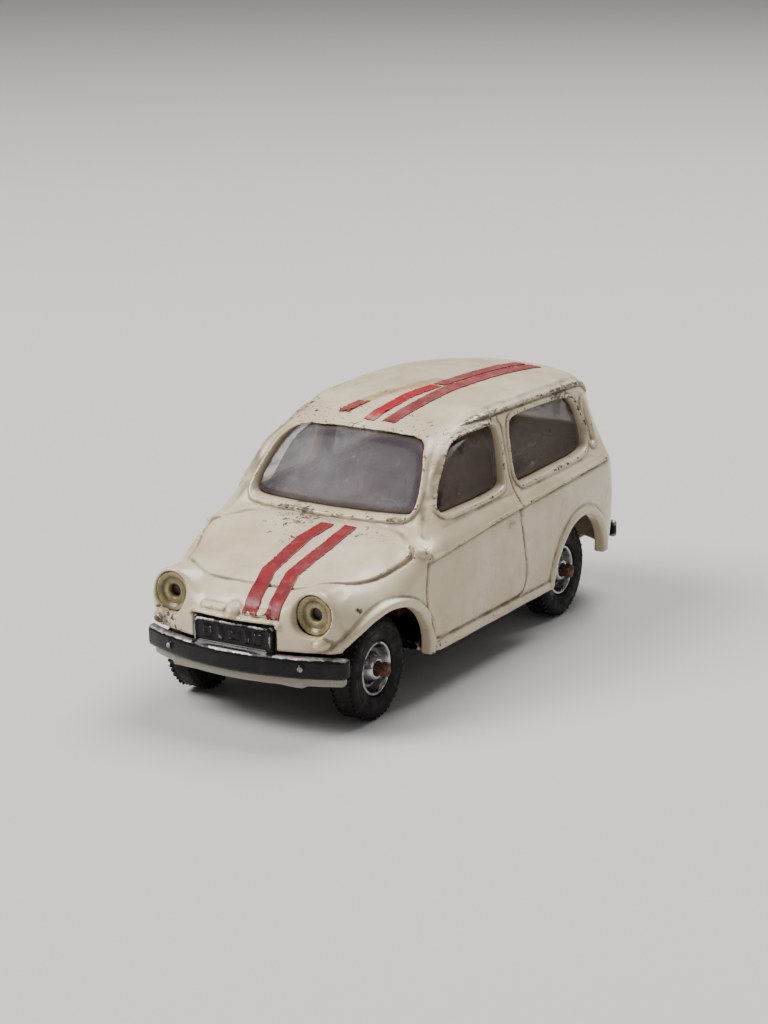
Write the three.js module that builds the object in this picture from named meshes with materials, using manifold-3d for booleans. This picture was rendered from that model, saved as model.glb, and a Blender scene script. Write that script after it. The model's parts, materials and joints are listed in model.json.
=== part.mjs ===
// Diecast toy estate car, about 1:43. A cream cast body is riveted over a black cast base.
// Millimetres, +Z up. The nose faces -Y, the car's left side is +X, the tyres stand on z = 0.
import * as THREE from "three";
import { mergeVertices } from "three/addons/utils/BufferGeometryUtils.js";
import Module from "manifold-3d";

const wasm = await Module();
wasm.setup();

// ---------------------------------------------------------------- driving dimensions (mm)
const overallLength = 73.6; // bumper to bumper
const bodyWidth = 30.4; // across the doors, just below the belt crease
const overallHeight = 31.5; // ground to the crown of the roof
const wheelbase = 45.3;
const frontOverhang = 11.6; // front bumper to front axle

const wall = 1.2; // skin of the body casting
const fitGap = 0.3; // between pieces that are assembled and stay put
const runGap = 0.1; // radial clearance of what turns

// Wheels
const tyreRadius = 6.0;
const tyreWidth = 3.4;
const tyreSlack = 0.03; // tyre's bore beyond the hub
const shoulderRound = 0.7; // width of the rounding at a tyre's shoulder
const sidewall = 1.4; // flat depth of a tyre's side
const hubRadius = 3.2; // seat of the tyre on the hub
const hubInset = 0.5; // hub's rim inside the tyre's outer face
const hubRim = 0.5; // thickness of the rim
const hubDish = 0.9; // depth of the dish inside the rim
const hubNose = 0.3; // centre boss beyond the rim
const wheelInset = 4.2; // body side to the middle of the tyre
const axleRadius = 0.75;
const axleStandout = 1.7; // peened end beyond the hub's face
const axleHead = [0.3, 0.8]; // swelling and length of a peened end

// Heights of the body
const sillZ = 5.8; // lower edge of the sills and underside of the base
const beltZ = 18.8; // crease along the doors
const windowSillZ = 21.3; // top of the shoulder, where the glass begins
const windowTopZ = 28.2;
const cowlZ = 19.7; // bonnet at the foot of the windscreen
const bonnetLength = 19.7; // nose to the foot of the windscreen

// Slopes and crowns
const noseStandback = 0.8; // bumper face to nose
const tailStandback = 1.6; // rear bumper face to tail
const windscreenRake = THREE.MathUtils.degToRad(41); // from vertical
const shoulderDepth = 1.7; // belt crease to glass, seen in plan
const doorZ = 15; // height where the doors stand out the furthest
const doorBarrel = 0.006;
const frontTaper = [18, 0.0055]; // nose to where the sides draw in, and how fast
const rearTaper = [17, 0.003]; // the same at the tail
const bonnetFall = [0.135, 0.0055]; // slope at the screen, and how it grows forwards
const bonnetFlat = 0.003; // crown near the windscreen
const tumblehome = 0.19; // inward lean of the glass per mm of height
const bonnetCrown = 0.0125;
const roofCrown = 0.0085;
const roofFall = [0.0042, 0.0045]; // before and behind the highest point
const noseCurve = [0.02, 0.1]; // across the car, and above noseBendZ
const noseBendZ = 12;
const tailCurve = [0.013, 0.012, 0.03]; // across the car, above and below tailBendZ
const tailBendZ = 11;
const tailgateLean = 0.43; // forward lean of the tailgate's glass per mm of height
const cornerPlan = 4.8; // blend between sides and ends
const edgeBlend = [3, 1.3]; // blend along the wings, and along the roof's edge
const screenBlend = 2;
const cowlBlend = 1;
const roofPeakBack = 23.8; // tail to the highest point of the roof

// Wheel arches, front and rear
const archRise = tyreRadius + 1.4;
const frontArchHalf = tyreRadius + 2;
const rearArchHalf = tyreRadius + 1;
const archLead = 0.4; // front arch ahead of its axle

// Front and rear fittings
const lampSpread = 9.4; // car's middle to a lamp's middle
const lampZ = 14.0;
const lampRadius = 2.1;
const podRadius = 2.8; // swelling of the wing around a lamp
const podLength = 12;
const podFall = 0.06; // how fast the swelling sinks into the wing
const podBlend = 2.2;
const lampSet = 1.2; // nose to the middle of a lamp
const lampHole = 0.75;
const lampDepth = 1.8;
const bumperHalf = 13.3;
const frontBumperBow = 3.3;
const rearBumperBow = 2.6;
const bumperDepth = 1.1;
const bumperTopZ = 9.5;
const bumperHeight = 2.7;
const plateHalf = 5.2;
const plateTopZ = 12.5;
const bumperLip = [0.7, 0.5]; // step under the front bumper: height and setback
const rearBumperZ = [7.2, 9.2];
const rearBracketHalf = 6;
const tongueHalf = 7.6; // the base runs out to the bumpers on tongues

// Base, rivets and cabin
const baseThickness = 1.1;
const axleHousingHalf = 1.7;
const rivetRadius = 0.8;
const rivetHead = 1.7;
const rivetLength = 3.4;
const rivetHeadHeight = 0.5;
const postRadius = 1.8;
const frontPostBack = 6.5; // nose to the front rivet
const rearPostForward = 4.2; // tail to the rear rivet
const glazing = 0.7;
const trayWall = 0.8;
const underTray = 0.5; // base casting to the tray's floor
const tubStandoff = 0.7; // tyre to the side of the tub
const seatBackZ = 20.6;
const seatShare = [0.453, 0.744]; // a front seat's middle and width, in half tubs
const steeringRadius = 2.5;
const steeringRake = THREE.MathUtils.degToRad(-118);
const tapeThickness = 0.22;
const tapeLift = 0.15; // adhesive under a tape
const skinStep = 2.63; // length of a facet along the outer skin
const hollowStep = 3.68; // the same on the inner skins

// ---------------------------------------------------------------- stations along the car
const halfLength = overallLength / 2;
const halfWidth = bodyWidth / 2;
const noseY = -halfLength + noseStandback;
const tailY = halfLength - tailStandback;
const cowlY = noseY + bonnetLength;
const roofPeakY = tailY - roofPeakBack;
const frontAxleY = -halfLength + frontOverhang;
const rearAxleY = frontAxleY + wheelbase;
const tyreX = halfWidth - wheelInset;
const hubFaceX = tyreX + tyreWidth / 2 - hubInset;
const axleEndX = hubFaceX + axleStandout;
const hubInnerX = tyreX - tyreWidth / 2;
const axleZ = tyreRadius;
const pillarY = cowlY + 20.3; // middle of the pillar behind the doors
const noseAxisY = noseY + 11; // the skins are measured out from an axis between these
const tailAxisY = tailY - 12;
const axisZ = 12.5;
const tubHalf = hubInnerX - tubStandoff;
const trayFloorZ = axleZ + axleHousingHalf + underTray + trayWall;

// ---------------------------------------------------------------- the body's outer surface
const smoothMax = (a, b, r) => Math.max(a, b) + Math.max(r - Math.abs(a - b), 0) ** 2 / (4 * r);
const smoothMin = (a, b, r) => -smoothMax(-a, -b, r);
const { lerp, smoothstep } = THREE.MathUtils;

// Half the car's width at a height: barrelled doors, a shoulder, then leaning glass.
function sideHalf(y, z) {
  const door = halfWidth - doorBarrel * (z - doorZ) ** 2;
  const glassFoot = halfWidth - shoulderDepth;
  const glass = glassFoot - tumblehome * (z - windowSillZ);
  const slope = (shoulderDepth - 0.1) / (windowSillZ - beltZ);
  const shoulder = glassFoot + slope * (windowSillZ - z);
  const upper = smoothMax(shoulder, glass, 0.6);
  const forward = Math.max(noseY + frontTaper[0] - y, 0);
  const backward = Math.max(y - tailY + rearTaper[0], 0);
  const taper = frontTaper[1] * forward ** 2 + rearTaper[1] * backward ** 2;
  return smoothMin(door, upper, 0.4) - taper;
}

function bonnetZ(x, y) {
  const ahead = Math.max(cowlY - y, 0);
  const crown = lerp(bonnetCrown, bonnetFlat, smoothstep(y, noseY + 9, noseY + 18));
  return cowlZ - bonnetFall[0] * ahead - bonnetFall[1] * ahead ** 2 - crown * x * x;
}

function roofZ(x, y) {
  const fall = roofFall[y < roofPeakY ? 0 : 1];
  return overallHeight - fall * (y - roofPeakY) ** 2 - roofCrown * x * x;
}

function noseAt(x, z) {
  return noseY + noseCurve[0] * x * x + noseCurve[1] * Math.max(z - noseBendZ, 0) ** 2;
}

function tailAt(x, z) {
  const bulge = tailCurve[z > tailBendZ ? 1 : 2];
  const gate = tailgateLean * Math.max(z - windowSillZ, 0);
  const panel = bulge * (Math.min(z, windowSillZ) - tailBendZ) ** 2;
  return tailY - tailCurve[0] * x * x - panel - gate;
}

// Signed distance to the outer surface, near enough within a few mm of it; negative inside.
function bodyField(x, y, z) {
  const wide = Math.abs(x);
  const side = wide - sideHalf(y, z);
  const screenFoot = -Math.cos(windscreenRake) * (y - cowlY - 0.3 - 0.005 * x * x);
  const screen = screenFoot + Math.sin(windscreenRake) * (z - cowlZ - 1.1);
  const cabin = smoothMax(z - roofZ(x, y), screen, screenBlend);
  const top = smoothMin(cabin, z - bonnetZ(x, y), cowlBlend);
  const ends = Math.max(noseAt(x, z) - y, y - tailAt(x, z));
  const plan = smoothMax(side, ends, cornerPlan);
  const edge = lerp(...edgeBlend, smoothstep(y, cowlY - 4, cowlY + 4));
  const skinned = smoothMax(plan, top, edge);
  const podSink = Math.max(y - noseY - 3, 0) * podFall;
  const pod = Math.hypot(wide - lampSpread, z - lampZ + podSink) - podRadius;
  const lampPod = smoothMax(pod, Math.max(noseY + 2 - y, y - noseY - podLength), 0.8);
  return Math.max(smoothMin(skinned, lampPod, podBlend), -z);
}

// First point along a ray where the field reaches a level.
function reach(origin, direction, level) {
  const at = (t) => origin.clone().addScaledVector(direction, t);
  const value = (t) => bodyField(...at(t).toArray()) - level;
  let far = 0;
  while (value(far) < 0 && far < overallLength) far += 0.5;
  let near = far - 0.5;
  for (let i = 0; i < 24; i++) {
    const middle = (near + far) / 2;
    if (value(middle) < 0) near = middle;
    else far = middle;
  }
  return at(far);
}

// ---------------------------------------------------------------- solids
function solid(geometry) {
  const bare = geometry.clone();
  bare.deleteAttribute("normal");
  bare.deleteAttribute("uv");
  const merged = mergeVertices(bare, 1e-4);
  const vertProperties = merged.attributes.position.array;
  const triVerts = new Uint32Array(merged.index.array);
  return new wasm.Manifold(new wasm.Mesh({ numProp: 3, vertProperties, triVerts }));
}

function geometryOf(manifold) {
  const { vertProperties, triVerts } = manifold.getMesh();
  const geometry = new THREE.BufferGeometry();
  geometry.setAttribute("position", new THREE.BufferAttribute(vertProperties, 3));
  geometry.setIndex(new THREE.BufferAttribute(triVerts, 1));
  return geometry;
}

const join = (...pieces) => pieces.reduce((a, b) => a.add(b));
const cut = (piece, ...tools) => tools.reduce((a, b) => a.subtract(b), piece);

function block(x0, x1, y0, y1, z0, z1) {
  const g = new THREE.BoxGeometry(x1 - x0, y1 - y0, z1 - z0);
  return solid(g.translate((x0 + x1) / 2, (y0 + y1) / 2, (z0 + z1) / 2));
}

// A round bar along "x", "y" or "z", centred on a point.
function bar(radius, length, axis, x, y, z, sides = 24) {
  const g = new THREE.CylinderGeometry(radius, radius, length, sides);
  if (axis === "x") g.rotateZ(Math.PI / 2);
  if (axis === "z") g.rotateX(Math.PI / 2);
  return solid(g.translate(x, y, z));
}

function extrude(shape, depth, curveSegments = 10) {
  return new THREE.ExtrudeGeometry(shape, { depth, curveSegments, bevelEnabled: false });
}

// A shape drawn with corners (u, v) and a corner radius.
function roundedShape(corners, radius) {
  const shape = new THREE.Shape();
  corners.forEach((corner, i) => {
    const here = new THREE.Vector2(...corner);
    const before = new THREE.Vector2(...corners.at(i - 1));
    const after = new THREE.Vector2(...corners[(i + 1) % corners.length]);
    const enter = here.clone().add(before.sub(here).setLength(radius));
    const leave = here.clone().add(after.sub(here).setLength(radius));
    if (i === 0) shape.moveTo(enter.x, enter.y);
    else shape.lineTo(enter.x, enter.y);
    shape.quadraticCurveTo(here.x, here.y, leave.x, leave.y);
  });
  shape.closePath();
  return shape;
}

// A prism across the car from a shape drawn in (y, z), between two values of x.
function acrossX(shape, x0, x1, segments) {
  const g = extrude(shape, x1 - x0, segments);
  g.applyMatrix4(new THREE.Matrix4().makeBasis(
    new THREE.Vector3(0, 1, 0), new THREE.Vector3(0, 0, 1), new THREE.Vector3(1, 0, 0)));
  return solid(g.translate(x0, 0, 0));
}

// A prism along the car from a shape drawn in (x, z), between two values of y.
function alongY(shape, y0, y1, segments) {
  const g = extrude(shape, y1 - y0, segments);
  return solid(g.rotateX(Math.PI / 2).translate(0, y1, 0));
}

// A flat prism from a shape drawn in (x, y), between two heights.
function upZ(shape, z0, z1, segments) {
  return solid(extrude(shape, z1 - z0, segments).translate(0, 0, z0));
}

// A closed skin at a depth under the body's surface: each vertex of a long capsule runs out
// from the axis until it meets that depth.
function skin(depth, around, along, caps) {
  const axisLength = tailAxisY - noseAxisY;
  const g = new THREE.CapsuleGeometry(1, axisLength, caps, around, along);
  const places = g.attributes.position;
  for (let i = 0; i < places.count; i++) {
    const vertex = new THREE.Vector3().fromBufferAttribute(places, i);
    const foot = new THREE.Vector3(0, vertex.y, 0);
    foot.clampScalar(-axisLength / 2, axisLength / 2);
    const direction = vertex.clone().sub(foot).normalize();
    foot.y += (noseAxisY + tailAxisY) / 2;
    foot.z = axisZ;
    const met = reach(foot, direction, -depth);
    places.setXYZ(i, met.x, met.y, met.z);
  }
  return solid(g);
}

// ---------------------------------------------------------------- outlines
const screenFootHalf = halfWidth - 5.1;
const sideCutX = screenFootHalf + 0.5; // the side windows are cut from here outwards
const doorWindow = [
  [cowlY + 2.2, windowSillZ - 0.1],
  [pillarY - 2.2, windowSillZ - 0.1],
  [pillarY - 1.8, windowTopZ + 0.1],
  [cowlY + 9.6, windowTopZ + 0.1],
];
const rearSideWindow = [
  [pillarY + 2.1, windowSillZ - 0.2],
  [tailY - 11.0, windowSillZ - 0.2],
  [tailY - 14.4, windowTopZ - 0.2],
  [pillarY + 2.3, windowTopZ - 0.2],
];
const windscreen = [
  [-screenFootHalf, windowSillZ - 0.4],
  [screenFootHalf, windowSillZ - 0.4],
  [screenFootHalf - 1.6, windowTopZ + 0.2],
  [-screenFootHalf + 1.6, windowTopZ + 0.2],
];
const tailWindow = [
  [-9.2, windowSillZ + 1],
  [9.2, windowSillZ + 1],
  [8.2, windowTopZ - 0.7],
  [-8.2, windowTopZ - 0.7],
];

function archShape(axleY, half) {
  const shape = new THREE.Shape();
  shape.moveTo(axleY + half, sillZ - 2);
  shape.lineTo(axleY + half, axleZ);
  shape.absellipse(axleY, axleZ, half, archRise, 0, Math.PI, false, 0);
  shape.lineTo(axleY - half, sillZ - 2);
  shape.closePath();
  return shape;
}

const far = overallLength; // longer than any cut needs
const frontPostY = noseY + frontPostBack;
const rearPostY = tailY - rearPostForward;
const baseTopZ = sillZ + baseThickness;
const outerMesh = [44, Math.round(overallLength / skinStep), 5]; // around, along, over an end
const hollowMesh = [26, Math.round(overallLength / hollowStep), 3];

// ---------------------------------------------------------------- body casting
function bodyShell() {
  const hollow = skin(wall, ...hollowMesh);
  const lampY = noseY + 6;
  const tools = [
    hollow,
    block(-far, far, -far, far, -far, sillZ),
    ...[[-far, -sideCutX], [sideCutX, far]].flatMap(([x0, x1]) => [
      acrossX(roundedShape(doorWindow, 1.3), x0, x1),
      acrossX(roundedShape(rearSideWindow, 1.6), x0, x1),
    ]),
    alongY(roundedShape(windscreen, 1.8), noseY, cowlY + 14),
    alongY(roundedShape(tailWindow, 1.6), tailY - 12, tailY + 5),
    acrossX(archShape(frontAxleY - archLead, frontArchHalf), -far, far, 16),
    acrossX(archShape(rearAxleY, rearArchHalf), -far, far, 16),
    block(-far, far, noseY - 5, frontAxleY - 6, -far, bumperTopZ + fitGap),
    block(-plateHalf - fitGap, plateHalf + fitGap, noseY - 5, noseY + 5, 0, plateTopZ + fitGap),
    block(-tongueHalf - fitGap, tongueHalf + fitGap, tailY - 6, tailY + 5, 0, baseTopZ + fitGap),
    ...[-1, 1].map((s) => bar(lampRadius + fitGap, 12, "y", s * lampSpread, lampY, lampZ)),
  ];
  const bonnetInside = bonnetZ(0, frontPostY) - wall / 2;
  const postFoot = baseTopZ + fitGap;
  const frontPost =
    bar(postRadius, bonnetInside - postFoot, "z", 0, frontPostY, (bonnetInside + postFoot) / 2, 16);
  const rearPost = block(-postRadius, postRadius, rearPostY - postRadius, tailY - 0.8, postFoot, 14);
  const shell = join(cut(skin(0, ...outerMesh), ...tools), frontPost, rearPost);
  return cut(shell, ...[frontPostY, rearPostY].map((y) =>
    bar(rivetRadius + runGap, 6, "z", 0, y, postFoot, 12)));
}

// ---------------------------------------------------------------- base casting
// A bowed bar with its face at the middle on faceY; sign is -1 at the front and 1 at the rear.
function bumperBar(sign, faceY, bow, z0, z1, inset = 0) {
  const radius = (bumperHalf ** 2 + bow ** 2) / (2 * bow);
  const sweep = Math.asin((bumperHalf - inset) / radius);
  const shape = new THREE.Shape();
  const centreY = faceY - sign * radius;
  const middle = sign * Math.PI / 2;
  shape.absarc(0, centreY, radius - inset, middle - sweep, middle + sweep, false);
  shape.absarc(0, centreY, radius - bumperDepth, middle + sweep, middle - sweep, true);
  shape.closePath();
  return upZ(shape, z0, z1, 20);
}

function basePlate() {
  const wideHalf = halfWidth - 2.2;
  const narrowHalf = hubInnerX - 0.6;
  const frontBack = frontAxleY + frontArchHalf + 0.2;
  const rearFront = rearAxleY - rearArchHalf - 0.5;
  const bumperZ = bumperTopZ - bumperHeight;
  const pieces = [
    block(-narrowHalf, narrowHalf, noseY + 1, tailY - 7, sillZ, baseTopZ),
    block(-tongueHalf, tongueHalf, tailY - 8, halfLength - 0.4, sillZ, baseTopZ),
    block(-wideHalf, wideHalf, frontBack, rearFront, sillZ, baseTopZ),
    bumperBar(-1, -halfLength, frontBumperBow, bumperZ, bumperTopZ),
    bumperBar(-1, -halfLength, frontBumperBow, bumperZ - bumperLip[0], bumperZ, bumperLip[1]),
    block(-plateHalf, plateHalf, noseY + 0.1, noseY + 1.1, bumperTopZ - 0.6, plateTopZ),
    bumperBar(1, halfLength, rearBumperBow, ...rearBumperZ),
    block(-rearBracketHalf, rearBracketHalf, halfLength - bumperDepth, halfLength - 0.4,
      sillZ, (rearBumperZ[0] + rearBumperZ[1]) / 2),
    ...[frontAxleY, rearAxleY].map((y) => block(-narrowHalf, narrowHalf,
      y - axleHousingHalf, y + axleHousingHalf, axleZ - axleHousingHalf, axleZ + axleHousingHalf)),
  ];
  return cut(
    join(...pieces),
    ...[frontAxleY, rearAxleY].map((y) => bar(axleRadius + runGap, far, "x", 0, y, axleZ)),
    ...[frontPostY, rearPostY].map((y) => bar(rivetRadius + runGap, far, "z", 0, y, 0, 12)),
  );
}

// ---------------------------------------------------------------- glazing and cabin
function windowUnit() {
  const outer = skin(wall + fitGap, ...hollowMesh);
  const inner = skin(wall + fitGap + glazing, ...hollowMesh);
  return cut(outer, inner, block(-far, far, -far, far, -far, cowlZ + 0.2));
}

// A seat whose cushion starts at frontY and whose back leans away from backY, both at the floor.
function seat(x, width, frontY, backY, topZ) {
  const foot = trayFloorZ - trayWall / 2;
  const profile = [
    [frontY, foot],
    [backY, foot],
    [backY + 1.6, topZ],
    [backY - 0.1, topZ],
    [backY - 1.5, trayFloorZ + 4.6],
    [frontY, trayFloorZ + 5.2],
  ];
  return acrossX(roundedShape(profile, 0.5), x - width / 2, x + width / 2, 3);
}

function interiorTray() {
  const shelfHalf = halfWidth - 3;
  const shelfZ = tyreRadius * 2 + 2 * fitGap + trayWall;
  const front = cowlY + 2.6;
  const back = tailY - 7.4;
  const inside = tubHalf - trayWall;
  const cabin = cut(
    join(
      block(-tubHalf, tubHalf, front, back, trayFloorZ - trayWall, shelfZ),
      block(-shelfHalf, shelfHalf, front, back, shelfZ - trayWall, shelfZ + 0.2),
    ),
    block(-inside, inside, front + trayWall, back - trayWall, trayFloorZ, shelfZ + 2),
  );
  const dashTop = cowlZ - 1.6;
  const dash = [
    [front, shelfZ - 0.4],
    [front + 2, shelfZ - 0.4],
    [front + 1.6, dashTop],
    [front, dashTop],
  ];
  const [seatX, seatWidth] = seatShare.map((share) => share * tubHalf);
  return join(
    cabin,
    acrossX(roundedShape(dash, 0.4), -shelfHalf + 0.6, shelfHalf - 0.6, 3),
    ...[-1, 1].map((s) => seat(s * seatX, seatWidth, pillarY - 6.8, pillarY - 1, seatBackZ)),
    seat(0, 2 * tubHalf - 2, pillarY + 8.4, pillarY + 15.2, seatBackZ - 1),
  );
}

// The wheel faces the driver: a rim, two spokes and a stalk that runs down to the dash.
function steeringWheel() {
  const rim = solid(new THREE.TorusGeometry(steeringRadius, 0.28, 6, 20));
  const spokes = block(-steeringRadius, steeringRadius, -0.25, 0.25, -0.2, 0.2);
  const stalk = bar(0.4, 2.4, "z", 0, 0, -1.2, 10);
  const boss = bar(0.7, 0.6, "z", 0, 0, 0, 12);
  return join(rim, spokes, stalk, boss);
}

// ---------------------------------------------------------------- lathe-turned pieces
// A ring or disc turned about the X axis from (radius, x) points of one closed section.
function turned(points, sides) {
  const section = [...points, points[0]].map(([r, x]) => new THREE.Vector2(r, x));
  return solid(new THREE.LatheGeometry(section, sides).rotateZ(-Math.PI / 2));
}

function axle() {
  const shaft = bar(axleRadius, 2 * axleEndX - 0.6, "x", 0, 0, 0, 20);
  const [swelling, length] = axleHead;
  const heads = [-1, 1].map((s) =>
    bar(axleRadius + swelling, length, "x", s * (axleEndX - length / 2), 0, 0, 20));
  return join(shaft, ...heads);
}

// Dished hub: a rim that holds the tyre, a web and a centre boss. x runs outwards.
function hub() {
  const bore = axleRadius + runGap;
  return turned([
    [bore, hubInnerX],
    [hubRadius, hubInnerX],
    [hubRadius, hubFaceX],
    [hubRadius - hubRim, hubFaceX],
    [hubRadius - 1.6 * hubRim, hubFaceX - hubDish],
    [bore + 0.9, hubFaceX - hubDish / 2],
    [bore + 0.7, hubFaceX + hubNose],
    [bore, hubFaceX + hubNose],
  ], 28);
}

function tyre() {
  const bore = hubRadius + tyreSlack;
  const outer = tyreX + tyreWidth / 2;
  return turned([
    [bore, hubInnerX + 0.1],
    [tyreRadius - sidewall, hubInnerX],
    [tyreRadius - 0.2, hubInnerX + 0.3],
    [tyreRadius, hubInnerX + shoulderRound],
    [tyreRadius, outer - shoulderRound],
    [tyreRadius - 0.2, outer - 0.3],
    [tyreRadius - sidewall, outer],
    [bore, outer - 0.3],
  ], 36);
}

function rivet() {
  const shank = bar(rivetRadius, rivetLength, "z", 0, 0, rivetLength / 2, 12);
  const head = bar(rivetHead, rivetHeadHeight, "z", 0, 0, -rivetHeadHeight / 2, 20);
  return join(shank, head);
}

function headlampInsert() {
  const half = lampDepth / 2;
  const ring = new THREE.LatheGeometry([
    [lampHole, -half],
    [lampRadius, -half],
    [lampRadius, half - 0.3],
    [lampRadius - 0.5, half],
    [lampHole + 0.3, half - 0.5],
    [lampHole, half - 0.7],
    [lampHole, -half],
  ].map(([r, h]) => new THREE.Vector2(r, h)), 24);
  return solid(ring.rotateX(Math.PI));
}

// ---------------------------------------------------------------- tapes
// A strip of tape laid over the skin. It is measured out from a line across the car at
// (fanY, fanZ): each station turns "lean" degrees forward of straight up and sits at x.
function fanTape(stations, width, fanY, fanZ) {
  const curve = new THREE.CatmullRomCurve3(stations.map(([x, lean]) =>
    new THREE.Vector3(x, lean, 0)));
  const steps = 16;
  const g = new THREE.BoxGeometry(1, 1, 1, 2, steps, 1);
  const places = g.attributes.position;
  for (let i = 0; i < places.count; i++) {
    const along = curve.getPoint(0.5 - places.getY(i));
    const lean = THREE.MathUtils.degToRad(along.y);
    const origin = new THREE.Vector3(along.x + places.getX(i) * width, fanY, fanZ);
    const direction = new THREE.Vector3(0, -Math.sin(lean), Math.cos(lean));
    const level = tapeLift + (places.getZ(i) > 0 ? tapeThickness : 0);
    const met = reach(origin, direction, level);
    places.setXYZ(i, met.x, met.y, met.z);
  }
  return solid(g);
}

// A strip on the roof, between two places (x, y) given at the middle of its ends.
function roofTape([x0, y0], [x1, y1], width) {
  const steps = Math.max(3, Math.round(Math.abs(y1 - y0) / 2.5));
  const g = new THREE.BoxGeometry(width, 1, 1, 1, steps, 1);
  const places = g.attributes.position;
  for (let i = 0; i < places.count; i++) {
    const share = places.getY(i) + 0.5;
    const x = lerp(x0, x1, share) + places.getX(i);
    const y = lerp(y0, y1, share);
    const level = tapeLift + (places.getZ(i) > 0 ? tapeThickness : 0);
    const met = reach(new THREE.Vector3(x, y, 20), new THREE.Vector3(0, 0, 1), level);
    places.setXYZ(i, met.x, met.y, met.z);
  }
  return solid(g);
}

// ---------------------------------------------------------------- finishes
const finish = (color, roughness, metalness, extra = {}) =>
  new THREE.MeshStandardMaterial({ color, roughness, metalness, ...extra });
const cream = finish("#d8cbb2", 0.35, 0);
const black = finish("#121213", 0.4, 0.2);
const glass = finish("#a9a2b0", 0.2, 0, { transparent: true, opacity: 0.35 });
const rose = finish("#a5484e", 0.5, 0);
const lampPlastic = finish("#a89a63", 0.3, 0);
const steel = finish("#7a4a36", 0.7, 0.6);
const plated = finish("#55585c", 0.2, 0.9);
const rubber = finish("#141414", 0.85, 0);
const redTape = finish("#a3303a", 0.4, 0);
const dustyTape = finish("#9a5450", 0.6, 0);

const car = new THREE.Group();

function add(name, manifold, material, parent = car) {
  const mesh = new THREE.Mesh(geometryOf(manifold), material);
  mesh.name = name;
  parent.add(mesh);
  return mesh;
}

add("body_shell", bodyShell(), cream);
add("base_plate", basePlate(), black);
add("window_unit", windowUnit(), glass);
add("interior_tray", interiorTray(), rose);
const wheelMesh = add("steering_wheel", steeringWheel(), black);
wheelMesh.position.set(seatShare[0] * tubHalf, cowlY + 7, cowlZ - 1.4);
wheelMesh.rotation.x = steeringRake;

for (const [side, sign] of [["left", 1], ["right", -1]]) {
  const lamp = add(`headlamp_insert_${side}`, headlampInsert(), lampPlastic);
  const lampY = noseAt(lampSpread, lampZ) + lampSet;
  lamp.position.set(sign * lampSpread, lampY, lampZ);
}

for (const [end, y] of [["front", frontAxleY], ["rear", rearAxleY]]) {
  const running = new THREE.Group();
  running.position.set(0, y, axleZ);
  car.add(running);
  add(`${end}_axle`, axle(), steel, running);
  for (const [side, turn] of [["left", 0], ["right", Math.PI]]) {
    add(`${end}_${side}_hub`, hub(), plated, running).rotation.z = turn;
    add(`${end}_${side}_tyre`, tyre(), rubber, running).rotation.z = turn;
  }
}

for (const [end, y] of [["front", frontPostY], ["rear", rearPostY]])
  add(`${end}_rivet`, rivet(), plated).position.set(0, y, sillZ - fitGap / 6);

// Each bonnet tape: its stations (x, lean in degrees) and its width.
const fanY = noseY + 16;
const bonnetTapes = {
  left: [[[4.1, -22], [4.4, 34], [4.3, 69], [4.4, 75], [4.8, 84]], 1.6],
  right: [[[1.1, -22], [1.1, 34], [1.6, 69], [1.9, 75], [2.6, 84]], 1.9],
};
for (const [side, [stations, width]] of Object.entries(bonnetTapes))
  add(`bonnet_tape_${side}`, fanTape(stations, width, fanY, axisZ), redTape);

// Each roof tape: its front end, its rear end, its width and its finish.
const roofTapes = {
  bright: [[0.3, cowlY + 9.8], [1.8, cowlY + 22], 1.5, redTape],
  left: [[3.2, cowlY + 10.2], [5.4, tailY - 8.6], 1.9, dustyTape],
  rear: [[1.8, cowlY + 22.6], [3.1, tailY - 8.8], 1.7, dustyTape],
  remnant: [[-4.3, cowlY + 11.2], [-2.1, cowlY + 17.4], 1.5, dustyTape],
};
for (const [place, [front, rear, width, colour]] of Object.entries(roofTapes))
  add(`roof_tape_${place}`, roofTape(front, rear, width), colour);

export default car;
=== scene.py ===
# %% [markdown]
# # A small diecast estate car, made in Blender
# The car is an old toy: a cream casting riveted over a black one, glazing and a cabin moulded in
# plastic, four rubber tyres on plated hubs, and strips of red tape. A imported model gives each
# piece's place and says which body it moves with. The script builds the piece that is looked at
# around that frame, so nothing is fitted by eye. Lengths are worked out in millimetres, which suit
# a toy, and become metres when a mesh is made.

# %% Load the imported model
import json
import math

import bmesh
import bpy
import numpy as np
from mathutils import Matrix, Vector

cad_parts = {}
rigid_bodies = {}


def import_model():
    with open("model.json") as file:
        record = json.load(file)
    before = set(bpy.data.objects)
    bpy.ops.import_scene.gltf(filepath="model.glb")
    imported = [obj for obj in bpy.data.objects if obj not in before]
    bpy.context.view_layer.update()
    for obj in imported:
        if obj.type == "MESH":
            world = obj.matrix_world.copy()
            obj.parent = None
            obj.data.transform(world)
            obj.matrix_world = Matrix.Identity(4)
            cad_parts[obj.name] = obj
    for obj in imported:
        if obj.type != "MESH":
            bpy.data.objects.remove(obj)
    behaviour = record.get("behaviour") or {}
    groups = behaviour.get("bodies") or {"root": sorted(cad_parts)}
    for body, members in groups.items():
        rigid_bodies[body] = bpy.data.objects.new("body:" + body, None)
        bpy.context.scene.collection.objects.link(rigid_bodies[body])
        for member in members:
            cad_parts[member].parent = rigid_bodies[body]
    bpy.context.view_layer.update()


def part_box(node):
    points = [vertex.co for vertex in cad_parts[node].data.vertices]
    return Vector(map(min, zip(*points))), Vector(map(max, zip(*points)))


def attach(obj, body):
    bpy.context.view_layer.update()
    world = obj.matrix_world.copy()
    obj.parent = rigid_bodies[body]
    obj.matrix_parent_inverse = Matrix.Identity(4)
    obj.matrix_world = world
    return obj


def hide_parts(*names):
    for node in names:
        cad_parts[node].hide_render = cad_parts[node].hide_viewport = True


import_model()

import openvdb
from mathutils import Matrix, Vector

MM = 0.001

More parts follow.
